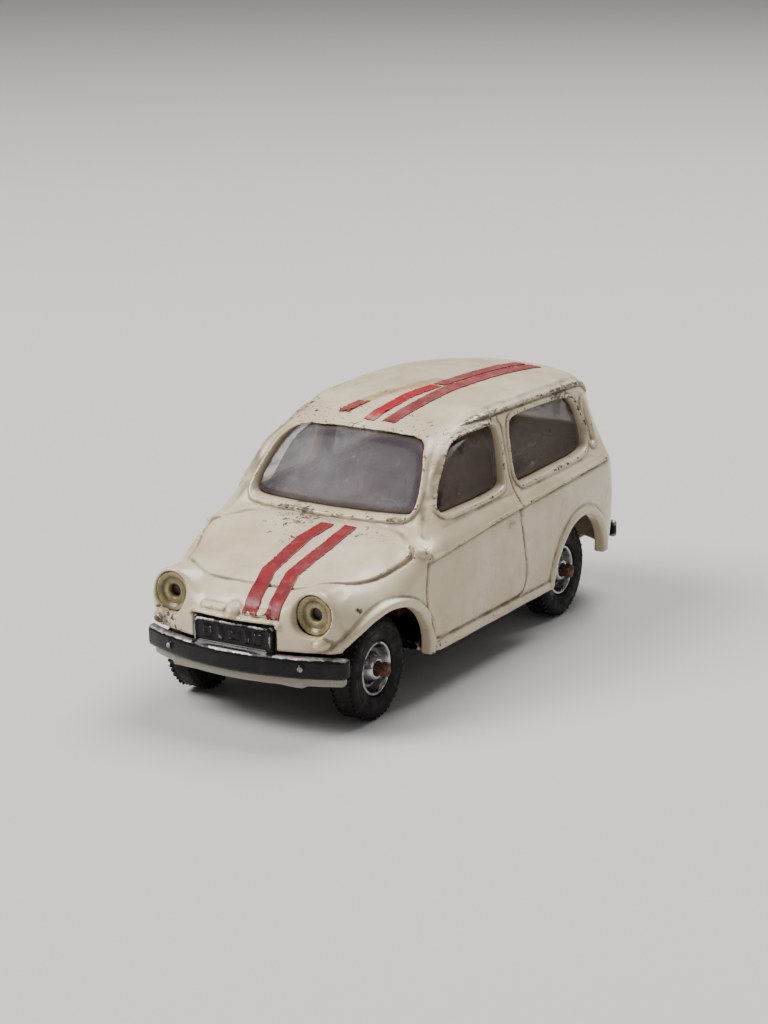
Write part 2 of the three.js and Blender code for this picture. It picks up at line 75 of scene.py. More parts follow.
# %% [markdown]
# ## Camera
# A toy this small is shown through a long lens from a little above, because that keeps its sides
# nearly parallel. The camera's direction is written as an azimuth, an elevation and a small roll,
# and its axes are worked out from them, which is easier to change than nine matrix numbers.

# %% Place the camera
camera_data = bpy.data.cameras.new("camera")
camera = bpy.data.objects.new("camera", camera_data)
bpy.context.scene.collection.objects.link(camera)
bpy.context.scene.camera = camera
camera_data.lens, camera_data.sensor_width = 94.92, 36
camera_data.clip_start, camera_data.clip_end = 0.01, 20
azimuth, elevation, roll = (math.radians(a) for a in (30.818, 15.160, -0.282))
backward = Vector((
    math.sin(azimuth) * math.cos(elevation),
    -math.cos(azimuth) * math.cos(elevation),
    math.sin(elevation),
))
level_right = (-backward).cross(Vector((0, 0, 1))).normalized()
level_up = level_right.cross(-backward)
right = math.cos(roll) * level_right + math.sin(roll) * level_up
up = -math.sin(roll) * level_right + math.cos(roll) * level_up
turn = Matrix((right, up, backward)).transposed().to_4x4()
camera.matrix_world = Matrix.Translation((0.160467, -0.271848, 0.102146)) @ turn
print("camera at", [round(v, 3) for v in camera.location])

# %% [markdown]
# ## Floor, world and lamps
# A pale floor and large soft lamps show form without hard shadows. One lamp stands above and in
# front on the far side, a weaker one fills the near side, and one above the tail draws the long
# soft highlights that make curved paint readable.

# %% Build the studio
FLOOR_HALF = 4.0


def plain_material(name, colour, roughness):
    material = bpy.data.materials.new(name)
    material.use_nodes = True
    shader = material.node_tree.nodes["Principled BSDF"]
    shader.inputs["Base Color"].default_value = (*colour, 1)
    shader.inputs["Roughness"].default_value = roughness
    return material


floor_mesh = bpy.data.meshes.new("floor")
corners = [(-1, -1), (1, -1), (1, 1), (-1, 1)]
floor_mesh.from_pydata([(x * FLOOR_HALF, y * FLOOR_HALF, 0) for x, y in corners], [], [(0, 1, 2, 3)])
floor_mesh.materials.append(plain_material("pale_floor", (0.62, 0.61, 0.59), 0.6))
floor = bpy.data.objects.new("floor", floor_mesh)
bpy.context.scene.collection.objects.link(floor)

world = bpy.data.worlds.new("soft_room")
world.use_nodes = True
world.node_tree.nodes["Background"].inputs["Color"].default_value = (0.86, 0.88, 0.92, 1)
world.node_tree.nodes["Background"].inputs["Strength"].default_value = 0.20
bpy.context.scene.world = world


def soft_lamp(name, place, size, watts, colour):
    data = bpy.data.lights.new(name, "AREA")
    data.size, data.energy, data.color = size, watts, colour
    lamp = bpy.data.objects.new(name, data)
    bpy.context.scene.collection.objects.link(lamp)
    lamp.location = place
    lamp.rotation_mode = "QUATERNION"
    lamp.rotation_quaternion = (Vector(place) - Vector((0, 0, 0.015))).to_track_quat("Z", "Y")


soft_lamp("key_lamp", (-0.42, -0.34, 0.62), 0.42, 8.8, (1.0, 0.97, 0.93))
soft_lamp("fill_lamp", (0.70, -0.30, 0.40), 0.50, 0.55, (0.95, 0.97, 1.0))
soft_lamp("top_lamp", (0.05, 0.42, 0.66), 0.45, 6.4, (1.0, 0.98, 0.96))

# %% [markdown]
# ## Finishes
# A finish is a material made of nodes. Each one starts from plain values on the shader's own
# sockets, and noises in the piece's own coordinates then vary the colour, the gloss and the fine
# relief. A short helper class keeps the node wiring readable and names the sizes in millimetres.

# %% A helper for finishes
class Finish:
    def __init__(self, name, colour, roughness, metallic=0.0, **values):
        self.material = bpy.data.materials.new(name)
        self.material.use_nodes = True
        self.tree = self.material.node_tree
        self.shader = self.tree.nodes["Principled BSDF"]
        start = {"Base Color": (*colour, 1), "Roughness": roughness, "Metallic": metallic, **values}
        for socket, value in start.items():
            self.shader.inputs[socket].default_value = value
        self.place = self.tree.nodes.new("ShaderNodeTexCoord").outputs["Object"]
        self.count = 0

    def wire(self, value, socket):
        if isinstance(value, bpy.types.NodeSocket):
            self.tree.links.new(value, socket)
        elif socket.type == "RGBA":
            socket.default_value = (*value, 1)
        else:
            socket.default_value = value

    def noise(self, size, detail=4.0, roughness=0.55, squeeze=(1, 1, 1), distortion=0.0):
        self.count += 1
        mapping = self.tree.nodes.new("ShaderNodeMapping")
        mapping.inputs["Scale"].default_value = squeeze
        mapping.inputs["Location"].default_value = (0.37 * self.count, 0.11 * self.count, 0.0)
        node = self.tree.nodes.new("ShaderNodeTexNoise")
        node.inputs["Scale"].default_value = 1 / (size * MM)
        node.inputs["Detail"].default_value = detail
        node.inputs["Roughness"].default_value = roughness
        node.inputs["Distortion"].default_value = distortion
        self.wire(self.place, mapping.inputs["Vector"])
        self.wire(mapping.outputs["Vector"], node.inputs["Vector"])
        return node.outputs["Fac"]

    def stored(self, name):
        node = self.tree.nodes.new("ShaderNodeAttribute")
        node.attribute_name = name
        return node.outputs["Fac"]

    def spread(self, value, low, high, to_low=0.0, to_high=1.0):
        node = self.tree.nodes.new("ShaderNodeMapRange")
        node.interpolation_type = "SMOOTHSTEP"
        for socket, number in zip(("From Min", "From Max", "To Min", "To Max"), (low, high, to_low, to_high)):
            node.inputs[socket].default_value = number
        self.wire(value, node.inputs["Value"])
        return node.outputs["Result"]

    def maths(self, operation, first, second, clamp=False):
        node = self.tree.nodes.new("ShaderNodeMath")
        node.operation, node.use_clamp = operation, clamp
        self.wire(first, node.inputs[0])
        self.wire(second, node.inputs[1])
        return node.outputs[0]

    def add(self, first, second, clamp=False):
        return self.maths("ADD", first, second, clamp)

    def times(self, first, second):
        return self.maths("MULTIPLY", first, second)

    def mix(self, factor, first, second):
        node = self.tree.nodes.new("ShaderNodeMix")
        node.data_type = "RGBA"
        self.wire(factor, node.inputs["Factor"])
        self.wire(first, node.inputs[6])
        self.wire(second, node.inputs[7])
        return node.outputs[2]

    def put(self, socket, value):
        self.wire(value, self.shader.inputs[socket])

    def bump(self, value, depth, strength=1.0):
        node = self.tree.nodes.new("ShaderNodeBump")
        node.inputs["Distance"].default_value = depth * MM
        node.inputs["Strength"].default_value = strength
        self.wire(value, node.inputs["Height"])
        before = self.shader.inputs["Normal"]
        if before.is_linked:
            self.wire(before.links[0].from_socket, node.inputs["Normal"])
        self.wire(node.outputs["Normal"], before)


# %% [markdown]
# ### Aged cream paint
# The body is dipped in a thick cream enamel that has yellowed a little. Creases are darkened,
# partly by grime and partly by painted shade, raised edges wear, and chips leave small dark pits.
# Two values stored on the body's points, one for the creases and "edge", tell the nodes where the
# creases and the raised edges are.

# %% Cream paint
cream = Finish("aged_cream_paint", (0.74, 0.66, 0.50), 0.3)
cream.shader.inputs["Coat Weight"].default_value = 0.25
cream.shader.inputs["Coat Roughness"].default_value = 0.16
crevice_grime_and_shade, edge, residue = (cream.stored(name) for name in ("crevice_grime_and_shade", "edge", "residue"))
tone = cream.mix(cream.spread(cream.noise(9, 3), 0.35, 0.68), (0.70, 0.60, 0.425), (0.60, 0.495, 0.325))
tone = cream.mix(cream.spread(cream.noise(2.2, 5), 0.52, 0.75, 0, 0.45), tone, (0.50, 0.41, 0.27))
haze = cream.times(cream.spread(cream.noise(4.5, 5, distortion=0.6), 0.5, 0.72),
                 cream.spread(cream.noise(0.8, 4), 0.42, 0.62))
tone = cream.mix(cream.times(haze, 0.30), tone, (0.40, 0.33, 0.23))
tone = cream.mix(cream.times(residue, cream.spread(cream.noise(1.4, 5), 0.25, 0.6, 0.6, 1)),
                 tone, (0.43, 0.30, 0.15))
# Creases and drawn lines darken towards near black: grime and painted shade.
grime_and_shade = cream.times(cream.spread(crevice_grime_and_shade, 0.10, 0.85),
                  cream.spread(cream.noise(2.6, 5), 0.36, 0.66, 0.42, 1))
tone = cream.mix(cream.times(grime_and_shade, 0.88), tone, (0.12, 0.085, 0.045))
near_edge = cream.spread(edge, 0.12, 0.8, -0.06, 0.07)
patch = cream.spread(cream.noise(7, 3), 0.42, 0.7, -0.05, 0.045)
battered = cream.times(cream.stored("battered"), 0.24)
speckle = cream.add(cream.noise(0.62, 4, 0.5, distortion=0.8), cream.add(near_edge, patch))
chips = cream.spread(cream.add(speckle, battered), 0.685, 0.705)
bared = cream.spread(cream.noise(1.1, 2), 0.45, 0.6)
chip_colour = cream.mix(bared, (0.075, 0.052, 0.034), (0.24, 0.20, 0.16))
tone = cream.mix(chips, tone, chip_colour)
cream.put("Base Color", tone)
gloss = cream.add(cream.spread(cream.noise(3, 4), 0.3, 0.7, 0.24, 0.44), cream.times(grime_and_shade, 0.3))
cream.put("Roughness", cream.add(gloss, cream.times(chips, 0.35), clamp=True))
cream.bump(cream.noise(1.5, 3), 0.035)
cream.bump(cream.noise(0.28, 2), 0.006)
cream.bump(cream.times(chips, -1.0), 0.05)

# %% [markdown]
# ### Black paint, plastic, rubber and metal
# The base is black enamel rubbed through to grey metal along its edges. The other finishes are
# variations on the same idea: a plain base, one broad noise for age and one fine noise for the
# surface, each with a gloss that fits what the piece is made of.

# %% Black paint
black = Finish("rubbed_black_paint", (0.012, 0.012, 0.013), 0.25, 0.0)
black.shader.inputs["Specular IOR Level"].default_value = 0.2
worn = black.add(black.spread(black.stored("edge"), 0.1, 0.75, -0.22, 0.2),
                 black.times(black.stored("rubbed"), 0.50))
bare = black.spread(black.add(black.noise(0.8, 5, 0.6), worn), 0.60, 0.68)
dulled = black.spread(black.noise(2.5, 5), 0.5, 0.72, 0, 0.5)
scuffed_and_shaded_lip = black.mix(dulled, (0.008, 0.008, 0.009), (0.024, 0.023, 0.022))
# The lip under the front bumper is a greyed cream: the body's cream with painted shade in it.
shaded_cream_lip = black.stored("shaded_cream_lip")
scuffed_and_shaded_lip = black.mix(shaded_cream_lip, scuffed_and_shaded_lip, (0.30, 0.28, 0.24))
metal_tone = black.mix(black.spread(black.noise(0.5, 3), 0.3, 0.7), (0.17, 0.165, 0.16), (0.42, 0.41, 0.40))
black.put("Base Color", black.mix(bare, scuffed_and_shaded_lip, metal_tone))
black.put("Metallic", black.times(bare, 0.85))
black.put("Roughness", black.add(black.spread(black.noise(1.8, 4), 0.3, 0.7, 0.18, 0.38),
                                 black.times(bare, 0.22)))
black.bump(black.noise(1.0, 3), 0.03)
black.bump(black.times(bare, -1.0), 0.02)

# %% Glazing, cabin and lamp plastics
glazing = Finish("hazed_clear_plastic", (0.25, 0.23, 0.27), 0.12, 0.0, Alpha=0.45)
glazing.shader.inputs["Specular IOR Level"].default_value = 0.15
cloud = glazing.noise(7, 5, 0.6, distortion=0.7)
scratch = glazing.spread(glazing.noise(1.1, 5, 0.7, (1, 0.12, 1)), 0.62, 0.70)
dusty_edge = glazing.spread(glazing.stored("rim"), 0.1, 1.0)
pane = glazing.mix(glazing.spread(cloud, 0.35, 0.7), (0.135, 0.122, 0.148), (0.195, 0.176, 0.196))
pane = glazing.mix(glazing.stored("flank"), pane, (0.145, 0.112, 0.096))
pane = glazing.mix(glazing.times(dusty_edge, 0.6), pane, (0.17, 0.125, 0.080))
# Darker and more opaque near listed corners of the side windows.
darkening = glazing.times(glazing.stored("corner"), glazing.spread(glazing.noise(1.3, 5), 0.36, 0.56))
pane = glazing.mix(darkening, pane, (0.030, 0.024, 0.020))
glazing.put("Base Color", glazing.mix(glazing.times(scratch, 0.5), pane, (0.40, 0.38, 0.38)))
mist = glazing.add(glazing.spread(cloud, 0.3, 0.75, 0.30, 0.44), glazing.times(dusty_edge, 0.25))
mist = glazing.add(mist, glazing.times(darkening, 0.5), clamp=True)
glazing.put("Alpha", glazing.add(mist, glazing.times(scratch, 0.12), clamp=True))
glazing.put("Roughness", glazing.spread(glazing.noise(2.5, 5), 0.35, 0.7, 0.20, 0.38))
glazing.bump(glazing.noise(4, 2), 0.02)

rose = Finish("rose_cabin_plastic", (0.42, 0.10, 0.10), 0.42)
browned = rose.spread(rose.noise(5, 4), 0.35, 0.7)
rose.put("Base Color", rose.mix(browned, (0.46, 0.115, 0.11), (0.26, 0.075, 0.07)))
rose.put("Roughness", rose.spread(rose.noise(1.2, 4), 0.3, 0.7, 0.34, 0.62))
rose.bump(rose.noise(0.5, 3), 0.03)

dark_plastic = Finish("dark_wheel_plastic", (0.018, 0.017, 0.017), 0.4)
dark_plastic.put("Roughness", dark_plastic.spread(dark_plastic.noise(0.9, 4), 0.3, 0.7, 0.28, 0.6))
dark_plastic.bump(dark_plastic.noise(0.4, 3), 0.02)

lamp_plastic = Finish("yellowed_lamp_plastic", (0.40, 0.34, 0.17), 0.22)
lamp_plastic.shader.inputs["Subsurface Weight"].default_value = 0.25
lamp_plastic.shader.inputs["Subsurface Radius"].default_value = (1, 0.8, 0.4)
lamp_plastic.shader.inputs["Subsurface Scale"].default_value = 0.5 * MM
lamp_tone = lamp_plastic.mix(lamp_plastic.spread(lamp_plastic.noise(1.4, 4), 0.35, 0.7),
                             (0.35, 0.30, 0.165), (0.19, 0.148, 0.066))
# Painted shade: the lamp goes near black in its well and in one dipped ring of the dish.
lamp_plastic.put("Base Color", lamp_plastic.mix(
    lamp_plastic.spread(lamp_plastic.stored("shade"), 0.0, 1.0), lamp_tone, (0.045, 0.03, 0.012)))
lamp_plastic.put("Roughness", lamp_plastic.spread(lamp_plastic.noise(0.7, 4), 0.3, 0.7, 0.14, 0.38))
lamp_plastic.bump(lamp_plastic.noise(0.6, 3), 0.03)

# %% Rubber
rubber = Finish("aged_black_rubber", (0.014, 0.014, 0.014), 0.62)
rubber.shader.inputs["Specular IOR Level"].default_value = 0.2
dust = rubber.times(rubber.spread(rubber.noise(2.4, 5), 0.42, 0.72),
                  rubber.spread(rubber.noise(0.35, 4), 0.4, 0.65))
rubber.put("Base Color", rubber.mix(dust, (0.009, 0.009, 0.009), (0.052, 0.048, 0.042)))
rubber.put("Roughness", rubber.spread(rubber.noise(1.1, 4), 0.3, 0.7, 0.42, 0.78))
rubber.bump(rubber.noise(0.5, 4), 0.05)

# %% Plated and rusty metal
chrome = Finish("dark_plated_metal", (0.33, 0.33, 0.335), 0.16, 1.0)
tarnish = chrome.spread(chrome.noise(1.1, 5, 0.6), 0.5, 0.68)
# Painted reflection: the plating is bright on the rim and centre and dark in the dish.
plating_and_painted_reflection = chrome.mix(chrome.stored("dish_painted_reflection"), (0.46, 0.46, 0.47), (0.12, 0.12, 0.125))
chrome.put("Base Color", chrome.mix(tarnish, plating_and_painted_reflection, (0.09, 0.082, 0.078)))
chrome.put("Roughness", chrome.add(chrome.spread(chrome.noise(0.6, 4), 0.3, 0.7, 0.10, 0.24),
                                   chrome.times(tarnish, 0.25)))
chrome.bump(chrome.noise(0.8, 3), 0.02)

rusty = Finish("rusted_axle_steel", (0.26, 0.10, 0.05), 0.7, 0.25)
scale = rusty.noise(0.55, 6, 0.65)
rusty_tone = rusty.mix(rusty.spread(scale, 0.35, 0.62), (0.20, 0.085, 0.050), (0.060, 0.032, 0.022))
bright_specks = rusty.spread(rusty.noise(0.3, 3), 0.62, 0.72)
rusty.put("Base Color", rusty.mix(bright_specks, rusty_tone, (0.34, 0.23, 0.18)))
rusty.put("Roughness", rusty.spread(scale, 0.3, 0.7, 0.5, 0.85))
rusty.bump(scale, 0.10)

rivet_metal = Finish("dull_rivet_metal", (0.30, 0.29, 0.28), 0.35, 0.9)
rivet_metal.put("Base Color", rivet_metal.mix(
    rivet_metal.spread(rivet_metal.noise(0.9, 5), 0.45, 0.65), (0.34, 0.33, 0.32), (0.10, 0.09, 0.08)))
rivet_metal.put("Roughness", rivet_metal.spread(rivet_metal.noise(0.5, 4), 0.3, 0.7, 0.25, 0.55))
rivet_metal.bump(rivet_metal.noise(0.4, 3), 0.03)


# %% Tape, bright or dusty
def tape_finish(name, clean, faded, dusty, dust_share, dust_weight):
    tape = Finish(name, clean, 0.38)
    tape.shader.inputs["Specular IOR Level"].default_value = 0.3
    tone = tape.mix(tape.spread(tape.noise(3.0, 4), 0.38, 0.68), clean, faded)
    film = tape.spread(tape.noise(1.3, 5, 0.6, distortion=0.5), 0.58 - dust_share, 0.78 - dust_share)
    tone = tape.mix(tape.times(film, dust_weight), tone, dusty)
    pale = tape.times(tape.stored("pale"), tape.spread(tape.noise(0.9, 4), 0.35, 0.6, 0.3, 1.0))
    tone = tape.mix(pale, tone, (0.42, 0.27, 0.22))
    # Torn edges are darker, and a painted shade line marks where a tape crosses the bonnet's shut line.
    torn_and_crease_shade = tape.spread(tape.stored("torn_and_crease_shade"), 0.25, 0.9)
    tape.put("Base Color", tape.mix(tape.times(torn_and_crease_shade, 0.55), tone, (0.09, 0.012, 0.014)))
    tape.put("Roughness", tape.add(tape.spread(tape.noise(1.6, 4), 0.3, 0.7, 0.26, 0.45),
                                   tape.times(film, 0.25)))
    tape.bump(tape.noise(1.2, 3), 0.05)
    tape.bump(tape.noise(0.25, 3), 0.01)
    return tape


red_tape = tape_finish("red_adhesive_tape", (0.43, 0.012, 0.022), (0.33, 0.016, 0.024),
                       (0.38, 0.11, 0.10), 0.02, 0.4)
rubbed_tape = tape_finish("rubbed_adhesive_tape", (0.25, 0.019, 0.025), (0.19, 0.023, 0.028),
                          (0.30, 0.10, 0.09), 0.06, 0.4)
dusty_tape = tape_finish("dusty_adhesive_tape", (0.26, 0.034, 0.037), (0.20, 0.036, 0.037),
                         (0.31, 0.12, 0.10), 0.14, 0.4)
print("finishes:", sorted(m.name for m in bpy.data.materials))

# %% [markdown]
# ## Turning a field into a casting
# A field is a function that says, for any point, how far it is from a surface: negative inside and
# positive outside. Rounded joints, thin walls and raised beads are then sums of simple functions,
# as they are in a real casting, where no edge is truly sharp. The field is measured on a coarse
# grid first and then finely near the surface only. OpenVDB turns it into quads, each point is slid
# onto the surface, and the mesh is thinned where it is flat.

# %% Smooth corners between fields
def smooth_max(a, b, r):
    return np.maximum(a, b) + np.maximum(r - np.abs(a - b), 0) ** 2 / (4 * r)


def smooth_min(a, b, r):
    return -smooth_max(-a, -b, r)


def ease(value, low, high):
    t = np.clip((value - low) / (high - low), 0, 1)
    return t * t * (3 - 2 * t)


def rounded_box(x, y, z, low, high, r=0.3):
    middle = [(a + b) / 2 for a, b in zip(low, high)]
    half = [(b - a) / 2 - r for a, b in zip(low, high)]
    q = [np.abs(v - m) - h for v, m, h in zip((x, y, z), middle, half)]
    outside = np.sqrt(sum(np.maximum(v, 0) ** 2 for v in q))
    return outside + np.minimum(np.maximum(np.maximum(q[0], q[1]), q[2]), 0) - r


# %% Measure a field near its surface and make quads of it
COARSE = 4  # fine cells along the side of a coarse one


def field_grid(field, low, high, step, mirror):
    start = np.array([0.0 if mirror else low[0], low[1], low[2]])
    cells = np.ceil((np.array(high) - start) / (step * COARSE)).astype(int)
    offset = np.array([step / 2 if mirror else 0, 0, 0])
    wide = [start[i] + offset[i] + (np.arange(cells[i]) * COARSE + (COARSE - 1) / 2) * step for i in range(3)]
    rough = field(*np.meshgrid(*wide, indexing="ij"))
    reach = step * COARSE * 1.55
    values = np.where(rough > 0, reach, -reach)
    for axis in range(3):
        values = np.repeat(values, COARSE, axis=axis)
    near = np.argwhere(np.abs(rough) < reach) * COARSE
    block = np.stack(np.meshgrid(*[np.arange(COARSE)] * 3, indexing="ij"), -1).reshape(-1, 3)
    for group in np.array_split(near, max(1, len(near) // 12000)):
        index = (group[:, None, :] + block[None]).reshape(-1, 3)
        place = start + offset + index * step
        values[index[:, 0], index[:, 1], index[:, 2]] = field(*place.T)
    if mirror:
        values = np.concatenate([values[::-1], values], axis=0)
        start[0] = -(cells[0] * COARSE - 0.5) * step
    return values.astype(np.float32), start


def slope(field, place, h=0.04):
    steps = np.eye(3) * h
    return np.stack([field(*(place + s).T) - field(*(place - s).T) for s in steps], 1) / (2 * h)


def bend(field, place, h):
    around = sum(field(*(place + s * h).T) for s in (*np.eye(3), *-np.eye(3)))
    return (around - 6 * field(*place.T)) / h**2


def quads_of(field, low, high, step, mirror=False, slides=3):
    values, start = field_grid(field, low, high, step, mirror)
    grid = openvdb.FloatGrid(float(values.max()))
    grid.copyFromArray(values)
    points, quads = grid.convertToQuads()
    points = points.astype(float) * step + start
    for _ in range(slides):
        amount = field(*points.T)
        direction = slope(field, points)
        move = -amount[:, None] * direction / np.maximum((direction**2).sum(1), 0.2)[:, None]
        length = np.linalg.norm(move, axis=1)[:, None]
        points = points + move * np.minimum(1, 0.6 * step / np.maximum(length, 1e-9))
    a, b, c, d = (points[quads[:, i]] for i in range(4))
    volume = (np.cross(b - a, c - a) * a).sum() + (np.cross(c - a, d - a) * a).sum()
    return points, quads[:, ::-1] if volume < 0 else quads


# %% Make an object from points and faces, and ride it on its body
def mesh_of(name, points, faces, finish):
    mesh = bpy.data.meshes.new(name)
    faces = faces if isinstance(faces, list) else faces.tolist()
    mesh.from_pydata((np.asarray(points) * MM).tolist(), [], faces)
    mesh.shade_smooth()
    mesh.materials.append(finish.material)
    return mesh


def place_piece(name, mesh, body, slot, *nodes):
    piece = bpy.data.objects.new(name, mesh)
    bpy.context.scene.collection.objects.link(piece)
    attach(piece, body)
    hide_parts(*nodes)
    print(f"{name}: {sum(len(p.vertices) - 2 for p in mesh.polygons)} triangles")
    return piece


def evaluated_mesh(thing):
    view = bpy.context.evaluated_depsgraph_get()
    mesh = bpy.data.meshes.new_from_object(thing.evaluated_get(view))
    bpy.data.objects.remove(thing)
    return mesh


def thinned(mesh, most_triangles):
    triangles = sum(len(p.vertices) - 2 for p in mesh.polygons)
    if triangles <= most_triangles:
        return mesh
    rough = bpy.data.objects.new("rough", mesh)
    bpy.context.scene.collection.objects.link(rough)
    rough.modifiers.new("thin", "DECIMATE").ratio = most_triangles / triangles
    return evaluated_mesh(rough)


def points_of(mesh):
    flat = np.empty(len(mesh.vertices) * 3)
    mesh.vertices.foreach_get("co", flat)
    return flat.reshape(-1, 3) / MM


def store(mesh, name, values):
    attribute = mesh.attributes.new(name, "FLOAT", "POINT")
    attribute.data.foreach_set("value", np.asarray(values, np.float32))


def casting(name, field, low, high, step, finish, most_triangles, mirror=False, reach=0.3):
    points, quads = quads_of(field, low, high, step, mirror)
    mesh = thinned(mesh_of(name, points, quads, finish), most_triangles)
    mesh.name = name
    mesh.shade_smooth()
    place = points_of(mesh)
    curve = bend(field, place, reach) * reach
    # Concave places, which the cream paint darkens with grime and painted shade.
    store(mesh, "crevice_grime_and_shade", np.clip(-curve * 0.55, 0, 1))
    store(mesh, "edge", np.clip(curve * 0.55, 0, 1))
    return mesh, place


# %% [markdown]
# ## The body's outer surface
# The doors are slightly barrelled, a shoulder leads up to glass that leans inwards, and the roof
# and bonnet are crowned. Each of these is one short function, and smooth maxima join them with the
# soft radii of a die casting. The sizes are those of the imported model.

# %% Stations and the plain body
FRONT_AXLE_Y, REAR_AXLE_Y, AXLE_Z = -25.2, 20.1, 6.0
NOSE_Y, TAIL_Y, COWL_Y, ROOF_PEAK_Y = -36.0, 35.2, -16.3, 11.4
HALF_WIDTH, ROOF_Z, COWL_Z, SILL_Z, GLASS_Z = 15.2, 31.5, 19.7, 5.8, 21.3
WALL = 1.2
LAMP_X, LAMP_Z = 9.4, 14.0
RAKE = math.radians(41)


def side_half(y, z):
    door = HALF_WIDTH - 0.006 * (z - 15) ** 2
    shoulder = 13.5 + 0.64 * (GLASS_Z - z)
    glass = 13.5 - 0.19 * (z - GLASS_Z)
    upper = smooth_max(shoulder, glass, 0.6)
    ahead, behind = np.maximum(NOSE_Y + 18 - y, 0), np.maximum(y - TAIL_Y + 17, 0)
    return smooth_min(door, upper, 0.4) - 0.0055 * ahead**2 - 0.003 * behind**2


def bonnet_height(x, y):
    ahead = np.maximum(COWL_Y - y, 0)
    crown = 0.0125 - 0.0095 * ease(y, NOSE_Y + 9, NOSE_Y + 18)
    return COWL_Z - 0.135 * ahead - 0.0055 * ahead**2 - crown * x * x


def nose_at(x, z):
    return NOSE_Y + 0.02 * x * x + 0.1 * np.maximum(z - 12, 0) ** 2


def tail_at(x, z):
    bulge = np.where(z > 11, 0.012, 0.03) * (np.minimum(z, GLASS_Z) - 11) ** 2
    return TAIL_Y - 0.013 * x * x - bulge - 0.43 * np.maximum(z - GLASS_Z, 0)


def screen_plane(x, y, z):
    return -math.cos(RAKE) * (y - COWL_Y - 0.3 - 0.005 * x * x) + math.sin(RAKE) * (z - COWL_Z - 1.1)


def plain_body(x, y, z):
    wide = np.abs(x)
    fall = np.where(y < ROOF_PEAK_Y, 0.0042, 0.0045)
    roof = ROOF_Z - fall * (y - ROOF_PEAK_Y) ** 2 - 0.0085 * x * x
    cabin = smooth_max(z - roof, screen_plane(x, y, z), 2)
    top = smooth_min(cabin, z - bonnet_height(x, y), 1)
    ends = np.maximum(nose_at(x, z) - y, y - tail_at(x, z))
    plan = smooth_max(wide - side_half(y, z), ends, 4.8)
    skinned = smooth_max(plan, top, 3 - 1.7 * ease(y, COWL_Y - 4, COWL_Y + 4))
    rise = np.maximum(y - NOSE_Y - 3, 0) * 0.06
    pod = np.hypot(wide - LAMP_X, z - LAMP_Z + rise) - 2.8
    lamp_pod = smooth_max(pod, np.maximum(NOSE_Y + 2 - y, y - NOSE_Y - 12), 0.8)
    return np.maximum(smooth_min(skinned, lamp_pod, 2.2), SILL_Z - 6 - z)


on_door, on_roof = plain_body(15.0, 0.0, 15.0), plain_body(0, 11.4, 31.4)
print("body field at the door and the roof:", float(on_door), float(on_roof))

# %% [markdown]
# ## Trim drawn on flat sheets
# A toolmaker cuts panel lines, beads and gutters into the die from drawings of the side, the front,
# the top and the tail. The same is done here. Each sheet holds a height map of what stands proud
# and what is cut in, made from distances to lines, and the body field looks it up where a side
# faces that sheet. Drawing once on a sheet is far quicker than measuring lines at every point.

# %% A sheet with lines and areas
def fade(distance, half):
    """One on the line, falling evenly to nothing at the half width."""
    return np.clip(1 - np.abs(distance) / half, 0, 1)


def hump(distance, half):
    """One on the line, falling as a round hump to nothing at the half width."""
    return np.clip(1 - (distance / half) ** 2, 0, 1)


class Sheet:
    PITCH = 0.07

    def __init__(self, u_range, v_range):
        self.start = (u_range[0], v_range[0])
        u, v = (np.arange(a, b, self.PITCH) for a, b in (u_range, v_range))
        self.u, self.v = np.meshgrid(u, v, indexing="ij")
        self.relief = np.zeros_like(self.u)
        self.grime_and_shade = np.zeros_like(self.u)

    def line(self, corners, closed=False):
        corners = [*corners, corners[0]] if closed else corners
        best = np.full_like(self.u, 1e9)
        for (u0, v0), (u1, v1) in zip(corners, corners[1:]):
            du, dv = u1 - u0, v1 - v0
            t = np.clip(((self.u - u0) * du + (self.v - v0) * dv) / max(du * du + dv * dv, 1e-9), 0, 1)
            best = np.minimum(best, (self.u - u0 - t * du) ** 2 + (self.v - v0 - t * dv) ** 2)
        return np.sqrt(best)

    def area(self, corners):
        inside = np.zeros_like(self.u, bool)
        for (u0, v0), (u1, v1) in zip(corners, [*corners[1:], corners[0]]):
            if v0 != v1:
                crossing = (v0 > self.v) != (v1 > self.v)
                inside ^= crossing & (self.u < (u1 - u0) * (self.v - v0) / (v1 - v0) + u0)
        return np.where(inside, -1, 1) * self.line(corners, closed=True)

    def ridge(self, distance, half, height, power=1.5):
        """A low power gives a steep side and a full top, a high one a soft swelling."""
        self.relief += height * hump(distance, half) ** power

    # Darkens the paint along lines and round raised or sunk trim: grime and painted shade.
    def soil_and_shade(self, darkening):
        self.grime_and_shade = np.maximum(self.grime_and_shade, darkening)

    def groove(self, corners, half=0.21, depth=0.24, darkening=1.0, closed=False):
        distance = self.line(corners, closed)
        self.relief -= depth * hump(distance, half)
        self.soil_and_shade(darkening * fade(distance, half * 1.7))

    def bead(self, area, width, height, darkening=0.8):
        t = np.clip(area / width, 0, 1)
        self.relief += height * np.sin(np.pi * t**0.8) ** 0.8 * (area > 0)
        self.soil_and_shade(darkening * fade(area - width - 0.05, 0.3))

    def look(self, sheet, u, v):
        a = np.clip((u - self.start[0]) / self.PITCH, 0, sheet.shape[0] - 1.001)
        b = np.clip((v - self.start[1]) / self.PITCH, 0, sheet.shape[1] - 1.001)
        i, j = a.astype(int), b.astype(int)
        a, b = a - i, b - j
        low = sheet[i, j] * (1 - a) + sheet[i + 1, j] * a
        high = sheet[i, j + 1] * (1 - a) + sheet[i + 1, j + 1] * a
        return low * (1 - b) + high * b


